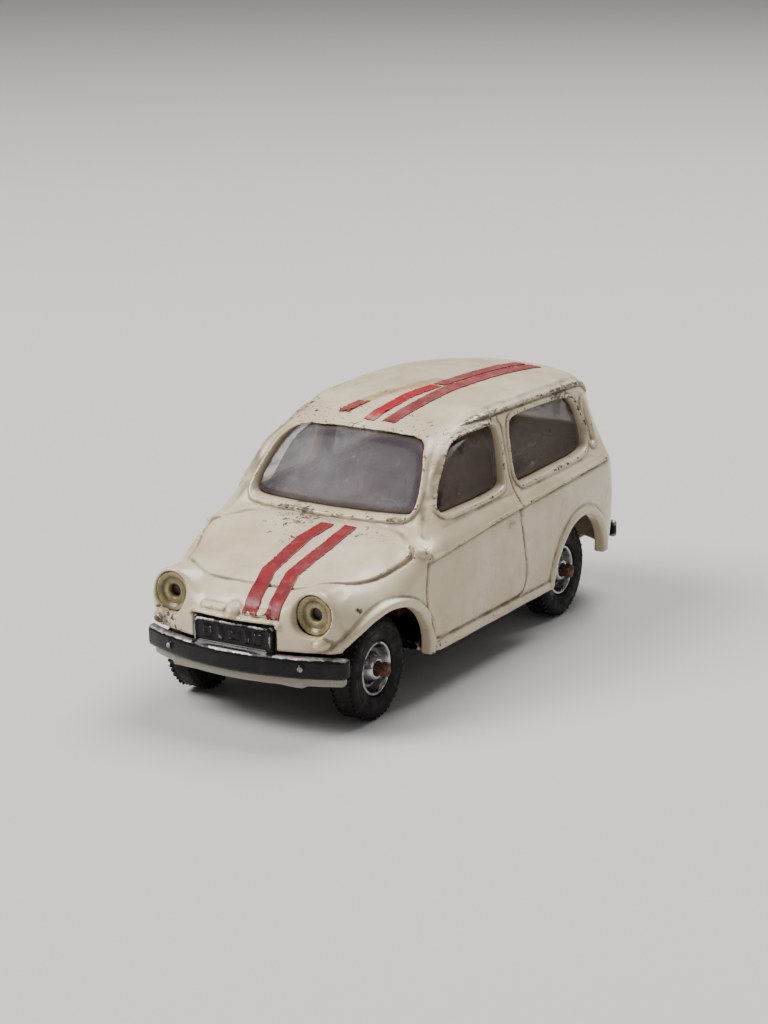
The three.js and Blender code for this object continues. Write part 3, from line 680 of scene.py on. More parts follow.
def rounded(corners, times=2, closed=True):
    """Cuts the corners of an outline or a line, again and again, until they are round."""
    corners = np.array(corners, float)
    for _ in range(times):
        here, after = (corners, np.roll(corners, -1, axis=0)) if closed else (corners[:-1], corners[1:])
        cut = np.stack([here * 0.75 + after * 0.25, here * 0.25 + after * 0.75], 1).reshape(-1, 2)
        corners = cut if closed else np.vstack([corners[:1], cut, corners[-1:]])
    return corners.tolist()


# %% [markdown]
# ### The side
# The side sheet carries the two window openings with their rounded frames, the gutter over them,
# the crease below them, the door's shut lines and hinges, the lips of the wheel arches and the
# ledge along the sill.

# %% Draw the side
side = Sheet((-37.5, 36.5), (4.0, 31.5))
door_glass = side.area(rounded([
    (-13.95, 21.0), (-12.25, 23.8), (-9.85, 26.25), (-6.9, 27.8), (-4.4, 28.35), (-1.9, 28.55), (2.0, 28.55),
    (2.95, 27.7), (2.85, 24.9), (2.4, 22.0), (1.5, 20.95), (-6.0, 20.9)]))
quarter_glass = side.area(rounded([
    (5.1, 21.0), (5.15, 24.1), (5.4, 27.8), (6.7, 28.55), (11.5, 28.55), (20.5, 28.2), (22.9, 27.3),
    (24.1, 24.5), (24.4, 22.1), (23.1, 20.95), (14.0, 20.8), (6.3, 20.65)]))
slot_glass = side.area(rounded([
    (24.9, 27.4), (25.7, 26.2), (26.9, 21.9), (26.2, 21.3), (25.3, 21.4), (24.7, 25.0)]))
side_glass = np.minimum(door_glass, quarter_glass)
side.bead(door_glass, 0.6, 0.22, 0.6)
side.bead(np.where(door_glass > 0.65, quarter_glass, 9), 0.6, 0.24, 0.6)
side.bead(slot_glass, 0.55, 0.28)
side.relief -= 0.45 * ease(-slot_glass, 0.0, 0.25)
# Painted shade inside the slot's recess.
side.soil_and_shade(0.75 * ease(-slot_glass, 0, 0.3))

gutter_low = [
    (-16.7, 19.2), (-15.5, 20.4), (-14.2, 22.0), (-12.2, 24.3), (-9.9, 26.6), (-7.1, 28.1), (-4.3, 28.9),
    (-1.1, 29.3), (3.8, 29.45), (10.8, 29.35), (19.6, 29.1), (24.5, 28.9), (26.6, 28.4), (27.7, 27.2)]
gutter_high = [
    (-13.2, 24.1), (-11.0, 26.3), (-7.8, 28.6), (-4.3, 29.7), (-1.2, 30.05), (3.8, 30.2), (11.0, 30.1),
    (21.9, 29.8), (26.0, 29.4)]
over_door = ease(side.u, -10.0, -5.0)
gutter_rail = side.line([(y, z + 0.42) for y, z in gutter_low[5:]])
side.relief += over_door * 0.26 * hump(gutter_rail, 0.5) ** 1.5
side.groove(rounded(gutter_low, closed=False), 0.2, 0.20, 1.0)
side.groove(gutter_high[3:], 0.28, 0.06, 0.4)

belt_y, belt_z = [-18.6, -11.2, -4.0, 3.6, 11.4, 19.8, 27.0], [17.1, 17.6, 18.1, 18.4, 18.7, 19.0, 19.15]
belt = np.interp(side.u, belt_y, belt_z)
above = side.v - belt
along = ease(side.u, -19.0, -17.8) * (1 - ease(side.u, 27.0, 30.0))
side.relief += along * 0.36 * ease(above, -0.10, 0.10) * (1 - ease(above, 0.35, 2.2))
side.ridge(np.abs(above - 0.16) + 9 * (along < 0.5), 0.32, 0.17, 1.0)
side.relief -= 0.12 * along * hump(above + 0.26, 0.22)
# A painted shadow line under the belt crease.
side.soil_and_shade(0.95 * along * fade(above + 0.2, 0.28))
side.groove([(-14.0, 19.95), (-4.0, 20.05), (3.0, 20.1)], 0.3, 0.06, 0.25)
side.groove([(5.0, 20.0), (14.0, 20.1), (24.0, 20.2)], 0.3, 0.06, 0.25)

door_gap = [
    (-17.9, 17.6), (-18.7, 16.0), (-18.95, 14.0), (-18.6, 11.6), (-17.9, 9.6), (-17.0, 8.2), (-16.2, 7.5),
    (-14.6, 7.25), (-5.0, 7.2), (3.9, 7.2), (5.0, 7.5), (5.6, 8.8), (5.0, 12.0), (4.2, 15.4), (3.5, 17.8),
    (3.5, 19.1), (4.0, 21.1), (4.0, 24.4), (4.0, 27.9), (3.3, 28.9)]
side.groove(door_gap, darkening=0.8)
for hinge_foot, hinge_head in (((3.9, 17.2), (3.6, 18.6)), ((5.75, 9.6), (5.35, 11.3))):
    side.ridge(side.line([hinge_foot, hinge_head]), 0.5, 0.24, 0.9)
side.ridge(side.line([(2.0, 16.6), (0.7, 16.7)]), 0.36, 0.30)  # door handle


def arch(y, z, middle, half, rise=7.4, foot=6.0):
    over = (np.hypot((y - middle) / half, (z - foot) / rise) - 1) * half
    return np.where(z > foot, over, np.abs(y - middle) - half)


FRONT_ARCH_Y, FRONT_ARCH_HALF, REAR_ARCH_HALF = -25.6, 8.0, 7.0


def both_arches(y, z):
    return np.minimum(arch(y, z, FRONT_ARCH_Y, FRONT_ARCH_HALF), arch(y, z, REAR_AXLE_Y, REAR_ARCH_HALF))


arches = both_arches(side.u, side.v)
lip_swell = 0.55 + 0.45 * np.sin(np.pi * np.clip(arches / 1.5, 0, 1))
side.relief += 0.44 * (1 - ease(arches, 0.85, 1.3)) * lip_swell
# Painted shade where the arch lips meet the panel.
side.soil_and_shade(0.5 * fade(arches - 1.35, 0.3))
between = ease(side.u, -16.4, -15.6) * (1 - ease(side.u, 11.6, 12.4))
side.relief += 0.36 * between * ease(6.85 - side.v, -0.16, 0.16)
# Painted shade under the sill ledge.
side.soil_and_shade(0.5 * between * fade(side.v - 6.95, 0.25))
side.ridge(np.hypot(side.u + 18.9, side.v - 18.5), 0.85, 0.42, 0.8)  # indicator at the bonnet's rear corner
print("side sheet:", side.relief.shape, "relief mm:", side.relief.min().round(2), side.relief.max().round(2))

# %% [markdown]
# ### The front, the top and the tail
# The front sheet has the windscreen with its raised frame, a brow over the plate panel, a plain
# round boss with a bar on each side, and a small boss below each lamp. The top sheet has the
# bonnet's shut line. The tail is kept plain: a window, a tail door with a handle and a number
# panel, and two lamps.

# %% Draw the front
front = Sheet((-0.5, 15.8), (4.0, 31.5))
screen_glass = front.area(rounded([
    (-10.7, 21.1), (-11.1, 22.4), (-10.35, 25.4), (-9.55, 27.3), (-8.6, 28.2), (-6.2, 28.55), (0, 28.7),
    (6.2, 28.55), (8.6, 28.2), (9.55, 27.3), (10.35, 25.4), (11.1, 22.4), (10.7, 21.1), (9.0, 20.85),
    (0, 20.75), (-9.0, 20.85)]))
screen_relief = 0.36 * np.sin(np.pi * np.clip(screen_glass / 0.62, 0, 1) ** 0.75) ** 0.8 * (screen_glass > 0)
# Grime and painted shade in a thin line round the windscreen frame.
screen_grime_and_shade = 0.7 * fade(screen_glass - 0.72, 0.26)
CREST, MARKER = (0, 13.75), (10.7, 11.05)
front.ridge(np.hypot(front.u - CREST[0], (front.v - CREST[1]) * 1.15), 0.95, 0.85, 0.8)
front.ridge(front.line([(1.3, 13.8), (4.2, 13.75)]), 0.36, 0.42, 0.9)
front.ridge(front.line([(0, 13.0), (4.6, 13.0), (5.7, 12.7)]), 0.45, 0.45, 0.9)
front.ridge(np.hypot(front.u - MARKER[0], (front.v - MARKER[1]) * 1.1), 0.85, 0.95, 0.6)
# Painted shade round the foot of the crest and the markers.
for middle, radius in ((CREST, 1.05), (MARKER, 0.95)):
    front.soil_and_shade(0.7 * fade(np.hypot(front.u - middle[0], front.v - middle[1]) - radius, 0.2))
front.groove([(11.0, 16.6), (12.0, 14.6), (12.5, 12.4), (12.5, 10.2)], 0.3, 0.08, 0.3)

top = Sheet((-0.5, 15.8), (-37.5, -13.0))
bonnet_gap = [
    (-1.0, -32.1), (0, -32.1), (3.4, -31.9), (6.8, -31.2), (9.3, -30.0), (11.0, -28.2), (12.1, -25.4),
    (13.0, -23.0), (13.7, -21.0), (13.8, -19.6), (12.9, -18.7)]
top.groove(rounded(bonnet_gap, closed=False), 0.26, 0.34)
top.groove([(0.0, -17.0), (3.8, -16.95), (8.7, -16.5), (10.6, -16.9), (12.4, -18.2)], 0.5, 0.10, 0.45)

tail = Sheet((-0.5, 15.8), (4.0, 31.5))
tail_glass = tail.area(rounded([
    (-9.0, 22.1), (-9.3, 23.2), (-8.6, 26.8), (-7.6, 27.6), (7.6, 27.6), (8.6, 26.8),
    (9.3, 23.2), (9.0, 22.1), (0, 21.9)]))
tail.bead(tail_glass, 0.85, 0.28, 0.45)
tail_gap = [
    (-0.5, 29.0), (9.2, 28.9), (10.2, 27.9), (11.2, 21.5), (11.4, 18.0), (11.0, 10.6), (10.0, 9.8),
    (-0.5, 9.7)]
tail.groove(tail_gap)
tail.ridge(tail.line([(0, 18.6), (1.4, 18.6)]), 0.5, 0.5)
tail.ridge(tail.line([(12.6, 11.6), (12.6, 14.4)]), 0.95, 0.55)
tail.relief += 0.3 * (1 - ease(np.maximum(np.abs(tail.u) - 4.2, np.abs(tail.v - 14.4) - 1.3), -0.1, 0.25))
print("sheets drawn:", front.relief.shape, top.relief.shape, tail.relief.shape)

# %% Look the trim up where each sheet faces
def trim(x, y, z, maps):
    wide = np.abs(x)
    from_side = wide - side_half(y, z)
    low_wing = ease(from_side, -4.8, -3.6) * ease(-y, 26.0, 27.5) * (1 - ease(z, 13.2, 14.4))
    on_side = np.maximum(ease(from_side, -2.2, -0.9), low_wing)
    on_screen = ease(screen_plane(x, y, z), -1.8, -0.7) * ease(z, 19.2, 20.2)
    on_nose = ease(nose_at(x, z) - y, -2.4, -1.2) * (z < 19)
    on_bonnet = ease(z - bonnet_height(x, y), -2.0, -0.8) * (y < COWL_Y + 0.6)
    on_tail = ease(y - tail_at(x, z), -2.2, -0.9)
    side_map, screen_map, front_map, top_map, tail_map = maps
    found = on_side * side.look(side_map, y, z)
    found = found + on_screen * front.look(screen_map, wide, z) * (1 - 0.6 * on_side)
    found = found + on_nose * front.look(front_map, wide, z)
    found = found + on_bonnet * top.look(top_map, wide, y) * (1 - on_screen)
    return found + on_tail * tail.look(tail_map, wide, z) * (1 - 0.5 * on_side)


RELIEF = (side.relief, screen_relief, front.relief, top.relief, tail.relief)
# The drawn dark lines of each sheet: grime and painted shade.
GRIME_AND_SHADE = (side.grime_and_shade, screen_grime_and_shade, front.grime_and_shade, top.grime_and_shade, tail.grime_and_shade)


def outer_body(x, y, z):
    waves = 0.022 * np.sin(x * 0.9 + 1) * np.sin(y * 0.62 + 2) * np.sin(z * 0.7)
    waves = waves + 0.012 * np.sin(x * 2.3 + y * 1.7)
    return plain_body(x, y, z) - trim(x, y, z, RELIEF) + waves


def cut_away(x, y, z):
    """The openings, the arches and the notches for the base, negative inside each of them."""
    wide = np.abs(x)
    glass = side.look(side_glass, y, z)
    holes = np.maximum(glass, side_half(y, z) - 2.0 - wide)
    screen = np.maximum(-screen_plane(x, y, z) - 2.6, y - COWL_Y - 14)
    holes = np.minimum(holes, np.maximum(front.look(screen_glass, wide, z), screen))
    holes = np.minimum(holes, np.maximum(tail.look(tail_glass, wide, z), TAIL_Y - 12 - y))
    holes = np.minimum(holes, both_arches(y, z))
    lamp_bore = np.maximum(np.hypot(wide - LAMP_X, z - LAMP_Z) - 2.35, y - NOSE_Y - 12)
    holes = np.minimum(holes, lamp_bore)
    bumper = np.maximum(y + 31.2, z - 9.8)
    plate = np.maximum(np.maximum(wide - 5.5, z - 12.8), np.maximum(y - NOSE_Y - 5, NOSE_Y - 5 - y))
    tongue = np.maximum(np.maximum(wide - 7.9, z - 7.2), TAIL_Y - 6 - y)
    return np.minimum(np.minimum(holes, bumper), np.minimum(plate, tongue))


RIVETS = {"front": -29.5, "rear": 31.0}


def rivet_bores(x, y):
    holes = [np.hypot(x, y - rivet_y) for rivet_y in RIVETS.values()]
    return np.minimum(*holes) - 0.9


def body_casting(x, y, z):
    shell = smooth_max(outer_body(x, y, z), -(plain_body(x, y, z) + WALL), 0.15)
    shell = smooth_max(shell, -cut_away(x, y, z), 0.28)
    shell = smooth_max(shell, SILL_Z + 1.2 * ease(y, 26.0, 27.5) - z, 0.3)
    front_post = np.maximum(np.hypot(x, y - RIVETS["front"]) - 1.8, np.maximum(7.2 - z, z - 16.0))
    rear_post = rounded_box(x, y, z, (-1.8, 29.2, 7.2), (1.8, 34.2, 14.0), 0.2)
    posts = np.maximum(np.minimum(front_post, rear_post), np.maximum(-rivet_bores(x, y), 7.2 - z))
    return np.minimum(shell, posts)


# %% Cast the body
CELL = 0.2  # step of the castings' grid, in mm
body_mesh, body_points = casting(
    "body_casting", body_casting, (-16.4, -37.4, 5.2), (16.4, 36.6, 32.4), CELL, cream, 190_000, mirror=True)
x, y, z = body_points.T
outside = plain_body(x, y, z) > -0.75
# The sheets' drawn dark lines join the concave places: grime and painted shade.
drawn = trim(x, y, z, GRIME_AND_SHADE) * outside
before = np.empty(len(x), np.float32)
stored_grime_and_shade = body_mesh.attributes["crevice_grime_and_shade"].data
stored_grime_and_shade.foreach_get("value", before)
stored_grime_and_shade.foreach_set("value", np.clip(before * outside + drawn, 0, 1).astype(np.float32))


def strip_cover(x, y, line, half):
    middle = np.interp(y, [p[1] for p in line], [p[0] for p in line])
    share = ease(half - np.abs(x - middle), -0.12, 0.12)
    first, last = line[0][1], line[-1][1]
    return share * ease(y, first - 0.1, first + 0.1) * (1 - ease(y, last - 0.1, last + 0.1))


lost_strip = [(-4.4, -4.6), (-2.7, -0.3), (-1.6, 1.8), (-0.3, 4.2), (0.3, 7.1), (1.1, 9.3)]
adhesive = strip_cover(x, y, lost_strip, 0.85) * (z > 28)
store(body_mesh, "residue", adhesive * outside)
knocks = [((-3.6, -17.6, 19.4), 3.8, 1.0), ((-0.9, -22.5, 18.7), 2.2, 0.8), ((13.0, -30.1, 14.2), 0.4, 3.0),
          ((-9.5, -34.4, 10.8), 2.2, 1.1), ((6.4, -19.0, 19.0), 1.8, 0.7), ((-1.6, 1.8, 31.1), 1.6, 0.7),
          ((-8.4, -4.6, 30.0), 2.0, 0.55), ((14.4, -17.6, 18.6), 1.6, 0.7), ((10.6, 2.0, 29.4), 1.5, 0.7),
          ((11.0, 20.0, 28.6), 1.8, 0.7), ((-12.0, 30.0, 24.0), 2.4, 0.8), ((15.0, -16.0, 6.8), 1.8, 0.8),
          ((9.4, -34.6, 17.0), 1.2, 0.5), ((5.6, -15.4, 20.6), 1.6, 0.6), ((-15.0, 5.0, 8.0), 2.5, 0.8)]
battered = sum(strength * np.exp(-((x - a) ** 2 + (y - b) ** 2 + (z - c) ** 2) / size**2)
               for (a, b, c), size, strength in knocks)
gutter_y, gutter_z = np.array(gutter_low).T
behind_pillar = ease(y, -9.0, -3.0)
by_gutter = np.exp(-(((z - np.interp(y, gutter_y, gutter_z) - 0.3) / 0.7) ** 2)) * (np.abs(x) > 9)
by_windows = np.exp(-(((side.look(side_glass, y, z) - 0.3) / 0.5) ** 2)) * (np.abs(x) > 11)
battered = battered + (0.5 * by_gutter + 0.35 * by_windows) * behind_pillar
store(body_mesh, "battered", np.clip(battered, 0, 3))
place_piece("body_casting", body_mesh, "car_body", "cream_paint", "body_shell")

# %% [markdown]
# ## The black base
# The base is one casting: a floor pan with a housing around each axle, the two bumpers, which are
# bows with rounded faces, and a plate panel that stands in a notch of the nose. The panel has a
# raised frame and a few plain raised marks. The body's points get a value called "rubbed" on top
# of the bumpers, where fingers wear the paint away.

# %% Base casting
HALF_LENGTH, BASE_TOP = 36.8, 6.9


def bow_bar(x, y, z, sign, face_y, bow, half, low, high, depth, r=0.45):
    radius = (half**2 + bow**2) / (2 * bow)
    centre = face_y - sign * radius
    out = np.hypot(x, y - centre) - radius
    bar = rounded_box(x, out, z, (-half, -depth, low), (half, 0, high), min(r, depth / 2, (high - low) / 2))
    return np.where(sign * (y - centre) > 0, bar, 5.0)  # only the near half of the circle


def plate_marks(x, z):
    """Plain raised marks that stand for a number plate's figures, without being any."""
    marks = 9.0
    for middle, half, low, high in ((-3.3, 0.55, 10.3, 11.6), (-1.6, 0.3, 10.3, 11.6), (0.3, 0.7, 10.5, 11.4),
                                    (2.0, 0.28, 10.3, 11.6), (3.4, 0.5, 10.3, 11.6)):
        marks = np.minimum(marks, np.maximum(np.abs(x - middle) - half, np.maximum(low - z, z - high)))
    return np.maximum(marks, -(np.hypot(x + 3.3, z - 10.95) - 0.3))


def base_casting(x, y, z):
    pan = rounded_box(x, y, z, (-8.7, -35.0, SILL_Z), (8.7, 28.2, BASE_TOP), 0.25)
    pan = np.minimum(pan, rounded_box(x, y, z, (-7.6, 27.2, SILL_Z), (7.6, 36.4, BASE_TOP), 0.25))
    pan = np.minimum(pan, rounded_box(x, y, z, (-13.0, -17.0, SILL_Z), (13.0, 12.6, BASE_TOP), 0.25))
    ribs = np.maximum(np.abs(y + 2.2) - 12.5, np.abs(z - 5.8) - 0.35)
    ribs = np.maximum(np.abs(np.abs(x) - 4.6) - 0.35, ribs)
    pan = smooth_min(pan, ribs, 0.3)
    for axle_y in (FRONT_AXLE_Y, REAR_AXLE_Y):
        housing = rounded_box(x, y, z, (-8.7, axle_y - 1.7, 4.3), (8.7, axle_y + 1.7, 7.7), 0.4)
        pan = smooth_min(pan, housing, 0.5)
    bumper = bow_bar(x, y, z, -1, -HALF_LENGTH, 3.3, 13.3, 7.0, 9.5, 1.35, 0.6)
    valance = bow_bar(x, y, z, -1, -36.2, 3.3, 12.7, 6.0, 7.15, 0.9, 0.4)
    studs = np.hypot(np.hypot(np.abs(x) - 8.7, z - 8.3), (y + 35.4) * 0.8) - 0.42
    rear = bow_bar(x, y, z, 1, HALF_LENGTH, 2.6, 13.3, 7.1, 9.3, 1.1, 0.5)
    rear_stay = rounded_box(x, y, z, (-4.8, 35.4, SILL_Z), (4.8, 36.3, 8.0), 0.25)
    panel = rounded_box(x, y, z, (-5.2, -35.75, 8.9), (5.2, -34.9, 12.5), 0.2)
    frame_ring = np.abs(rounded_box(x, x * 0, z, (-4.9, -1, 9.6), (4.9, 1, 12.25), 0.5)) - 0.14
    frame_ring = np.maximum(frame_ring, np.maximum(-36.0 - y, y + 35.0))
    marks = np.maximum(plate_marks(x, z), np.maximum(-35.87 - y, y + 35.0))
    panel = smooth_min(panel, smooth_min(frame_ring, marks, 0.15), 0.2)
    whole = smooth_min(smooth_min(bumper, valance, 0.3), smooth_min(panel, pan, 0.3), 0.3)
    whole = smooth_min(whole, studs, 0.2)
    whole = np.minimum(whole, smooth_min(rear, rear_stay, 0.3))
    bores = np.minimum(np.hypot(y - FRONT_AXLE_Y, z - AXLE_Z), np.hypot(y - REAR_AXLE_Y, z - AXLE_Z)) - 0.85
    whole = smooth_max(whole, -np.minimum(bores, rivet_bores(x, y)), 0.1)
    return whole + 0.012 * np.sin(x * 1.9) * np.sin(y * 1.3 + z)


base_mesh, base_points = casting(
    "base_casting", base_casting, (-13.9, -37.4, 4.0), (13.9, 37.4, 13.0), CELL, black, 120_000, mirror=False)
x, y, z = base_points.T
up_facing = ease(z, 9.1, 9.42) * (y < -31) * (1 - ease(z, 9.7, 9.9))
behind_panel = (np.abs(x) < 5.4) & (y > -36.4)
store(base_mesh, "rubbed", up_facing * ~behind_panel + 0.7 * ease(z, 8.95, 9.25) * (y > 33))
# The lip under the front bumper, painted cream greyed by painted shade.
store(base_mesh, "shaded_cream_lip", (1 - ease(z, 6.85, 7.05)) * (y < -32.0))
place_piece("base_casting", base_mesh, "car_body", "black_paint", "base_plate")

# %% [markdown]
# ## Glazing and cabin
# The windows are one clear moulding that lines the inside of the roof. Where there is an opening
# its pane stands out into it, so the glass looks nearly flush. Under it sits a tub with two front
# seats, a bench and a dashboard, moulded in one colour, and a small steering wheel.

# %% Glazing
def glazing_unit(x, y, z):
    under = plain_body(x, y, z)
    wide = np.abs(x)
    lining = np.maximum(under + WALL + 0.3, -(under + WALL + 1.0))
    window = np.maximum(side.look(side_glass, y, z), side_half(y, z) - 2.4 - wide)
    window = np.minimum(window, np.maximum(front.look(screen_glass, wide, z), np.maximum(
        -screen_plane(x, y, z) - 2.6, y - COWL_Y - 14)))
    window = np.minimum(window, np.maximum(tail.look(tail_glass, wide, z), TAIL_Y - 12 - y))
    panes = np.maximum(smooth_max(under + 0.35, window + 0.10, 1.0), -(under + WALL + 1.0))
    return np.maximum(smooth_min(lining, panes, 0.5), 19.9 - z)


glazing_mesh, glazing_points = casting(
    "glazing", glazing_unit, (-14.4, -17.5, 19.4), (14.4, 34.6, 31.4), 0.3, glazing, 60_000,
    mirror=True, reach=0.3)
x, y, z = glazing_points.T
in_side, in_screen = -side.look(side_glass, y, z), -front.look(screen_glass, np.abs(x), z)
edge_distance = np.where(np.abs(x) > side_half(y, z) - 2.2, in_side, in_screen)
store(glazing_mesh, "rim", 1 - ease(edge_distance, 0.0, 0.9))
flank = ease(np.abs(x) - side_half(y, z), -2.6, -1.8)
corners = [(-12.4, 22.6), (-5.5, 27.2), (0.8, 27.4), (6.8, 27.3), (22.4, 26.6), (7.0, 22.2)]
near_corner = np.min([np.hypot(y - b, (z - c) * 1.3) for b, c in corners], axis=0)
store(glazing_mesh, "flank", flank)
store(glazing_mesh, "corner", flank * (1 - ease(near_corner, 0.8, 2.4)))
place_piece("glazing", glazing_mesh, "car_body", "clear_tint", "window_unit")


# %% Cabin tub and seats
def leaning_seat(x, y, z, middle, half, back_y):
    """A seat with a ribbed cushion and a backrest that leans back; back_y is behind its foot."""
    lean = (z - 9.0) * 0.13
    rib = 0.07 * np.sin((x - middle) * 3.4)
    cushion = rounded_box(x - middle, y, z, (-half, back_y - 6.2, 8.6), (half, back_y - 0.6, 13.9), 0.9)
    rest = rounded_box(x - middle, y - lean, z, (-half, back_y - 1.9, 8.6), (half, back_y - 0.3, 20.5), 0.75)
    return smooth_min(cushion, rest, 0.8) - rib


def cabin_tub(x, y, z):
    outer = np.minimum(rounded_box(x, y, z, (-8.6, -13.7, 8.2), (8.6, 27.8, 13.4), 0.4),
                       rounded_box(x, y, z, (-12.2, -13.7, 12.6), (12.2, 27.8, 13.6), 0.3))
    tub = smooth_max(outer, -rounded_box(x, y, z, (-7.8, -12.9, 9.0), (7.8, 27.0, 16.0), 0.5), 0.2)
    dash = rounded_box(x, y, z, (-11.4, -13.7, 12.8), (11.4, -11.9, 18.1), 0.6)
    binnacle = np.hypot(np.hypot(x - 3.9, z - 17.6) - 0.0, (y + 12.4) * 0.9) - 1.3
    tub = smooth_min(tub, smooth_min(dash, binnacle, 0.4), 0.3)
    seats = np.minimum(leaning_seat(x, y, z, -3.9, 3.2, 3.4), leaning_seat(x, y, z, 3.9, 3.2, 3.4))
    bench = leaning_seat(x, y, z, 0.0, 7.6, 19.0)
    return smooth_min(tub, np.minimum(seats, bench), 0.3)


tub_mesh, _ = casting(
    "cabin_tub", cabin_tub, (-12.8, -14.4, 7.6), (12.8, 28.6, 21.2), 0.3, rose, 60_000)
place_piece("cabin_tub", tub_mesh, "car_body", "rose_plastic", "interior_tray")


# %% Steering wheel
def steering_wheel(x, y, z):
    tilt = math.radians(118)
    across, height, along = x - 3.9, y + 9.3, z - 18.3
    v = height * math.cos(tilt) - along * math.sin(tilt)
    w = height * math.sin(tilt) + along * math.cos(tilt)
    rim = np.hypot(np.hypot(across, v) - 2.5, w) - 0.27
    spokes = rounded_box(across, v, w, (-2.5, -0.24, -0.18), (2.5, 0.24, 0.18), 0.12)
    lower = rounded_box(across, v, w, (-0.22, -2.5, -0.16), (0.22, 0, 0.16), 0.1)
    boss = np.maximum(np.hypot(across, v) - 0.72, np.abs(w) - 0.32)
    stalk = np.maximum(np.hypot(across, v) - 0.38, np.maximum(w - 0.2, -w - 2.4))
    return smooth_min(smooth_min(rim, np.minimum(spokes, lower), 0.3), smooth_min(boss, stalk, 0.2), 0.25)


wheel_mesh, wheel_points = casting(
    "steering_wheel_rim", steering_wheel, (0.6, -12.8, 14.6), (7.2, -6.0, 21.6), 0.12, dark_plastic, 16_000)
low, high = (np.array(corner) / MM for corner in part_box("steering_wheel"))
print("wheel box", wheel_points.min(0).round(1), wheel_points.max(0).round(1))
print("frame box", low.round(1), high.round(1))
place_piece("steering_wheel_rim", wheel_mesh, "car_body", "dark_plastic", "steering_wheel")

# %% [markdown]
# ## Turned pieces
# Hubs, axles, rivets and lamps are turned on a lathe, so each is a profile of a few radii swept
# round an axis. The profile is rounded first, by cutting its corners, because a turned edge
# always has a small radius. A little unevenness is added where metal was hammered over.

# %% A lathe
def lathe(profile, sides, close=True):
    """Sweeps (radius, height) points round the Z axis. An open profile is capped by a pole at each end."""
    count = len(profile)
    angles = np.arange(sides) * 2 * np.pi / sides
    r, h = np.array(profile, float).T
    points = np.stack([
        np.outer(np.cos(angles), r), np.outer(np.sin(angles), r), np.tile(h, (sides, 1))], -1).reshape(-1, 3)
    faces = []
    for i in range(sides):
        j = (i + 1) % sides
        for k in range(count if close else count - 1):
            n = (k + 1) % count
            faces.append((i * count + k, j * count + k, j * count + n, i * count + n))
    if not close:
        points = np.vstack([points, [[0, 0, h[0]], [0, 0, h[-1]]]])
        first, last = len(points) - 2, len(points) - 1
        for i in range(sides):
            j = (i + 1) % sides
            faces.append((first, j * count, i * count))
            faces.append((last, i * count + count - 1, j * count + count - 1))
    return points, faces


def soft_profile(corners, radius=0.12, steps=3, close=True):
    """Replaces each corner of a profile by a short arc."""
    corners = [np.array(c, float) for c in corners]
    soft = []
    for i, here in enumerate(corners):
        if not close and i in (0, len(corners) - 1):
            soft.append(here)
            continue
        into, out = corners[i - 1] - here, corners[(i + 1) % len(corners)] - here
        reach = min(radius, np.linalg.norm(into) / 2.2, np.linalg.norm(out) / 2.2)
        a, b = here + into / np.linalg.norm(into) * reach, here + out / np.linalg.norm(out) * reach
        for t in np.linspace(0, 1, steps):
            soft.append((1 - t) ** 2 * a + 2 * t * (1 - t) * here + t * t * b)
    return soft


def turned_mesh(name, points, faces, finish, matrix=None):
    mesh = mesh_of(name, points, [tuple(int(i) for i in f) for f in faces], finish)
    if matrix is not None:
        mesh.transform(matrix)
    work = bmesh.new()
    work.from_mesh(mesh)
    bmesh.ops.remove_doubles(work, verts=work.verts, dist=1e-7)
    bmesh.ops.recalc_face_normals(work, faces=work.faces)
    work.to_mesh(mesh)
    work.free()
    return mesh


def moved(x=0.0, y=0.0, z=0.0):
    return Matrix.Translation((x * MM, y * MM, z * MM))


SIDEWAYS = {"left": Matrix.Rotation(math.pi / 2, 4, "Y"), "right": Matrix.Rotation(-math.pi / 2, 4, "Y")}
ENDS = {"front": FRONT_AXLE_Y, "rear": REAR_AXLE_Y}
rough = np.random.default_rng(7)

# %% Hubs
HUB_FACE, HUB_INNER = 12.2, 9.3
hub_profile = soft_profile([
    (0.86, HUB_INNER), (3.2, HUB_INNER), (3.2, HUB_FACE - 0.05), (3.08, HUB_FACE + 0.12),
    (2.82, HUB_FACE + 0.1), (2.62, HUB_FACE - 0.35), (2.3, HUB_FACE - 0.75), (1.9, HUB_FACE - 0.85),
    (1.75, HUB_FACE - 0.5),
    (1.55, HUB_FACE - 0.28), (1.3, HUB_FACE + 0.12), (1.12, HUB_FACE + 0.26), (0.86, HUB_FACE + 0.24)], 0.1)
for end, axle_y in ENDS.items():
    for hand, turning in SIDEWAYS.items():
        name = f"{end}_{hand}_hub"
        place = moved(0, axle_y, AXLE_Z) @ turning
        mesh = turned_mesh(f"{name}_plated", *lathe(hub_profile, 72), chrome, place)
        _, y, z = points_of(mesh).T
        radius = np.hypot(y - axle_y, z - AXLE_Z)
        # Marks the dish, where the plating gets a dark painted reflection.
        store(mesh, "dish_painted_reflection", (1 - ease(radius, 2.55, 2.8)) * ease(radius, 1.3, 1.6))
        place_piece(f"{name}_plated", mesh, f"{end}_{hand}_wheel", "dark_chrome", name)

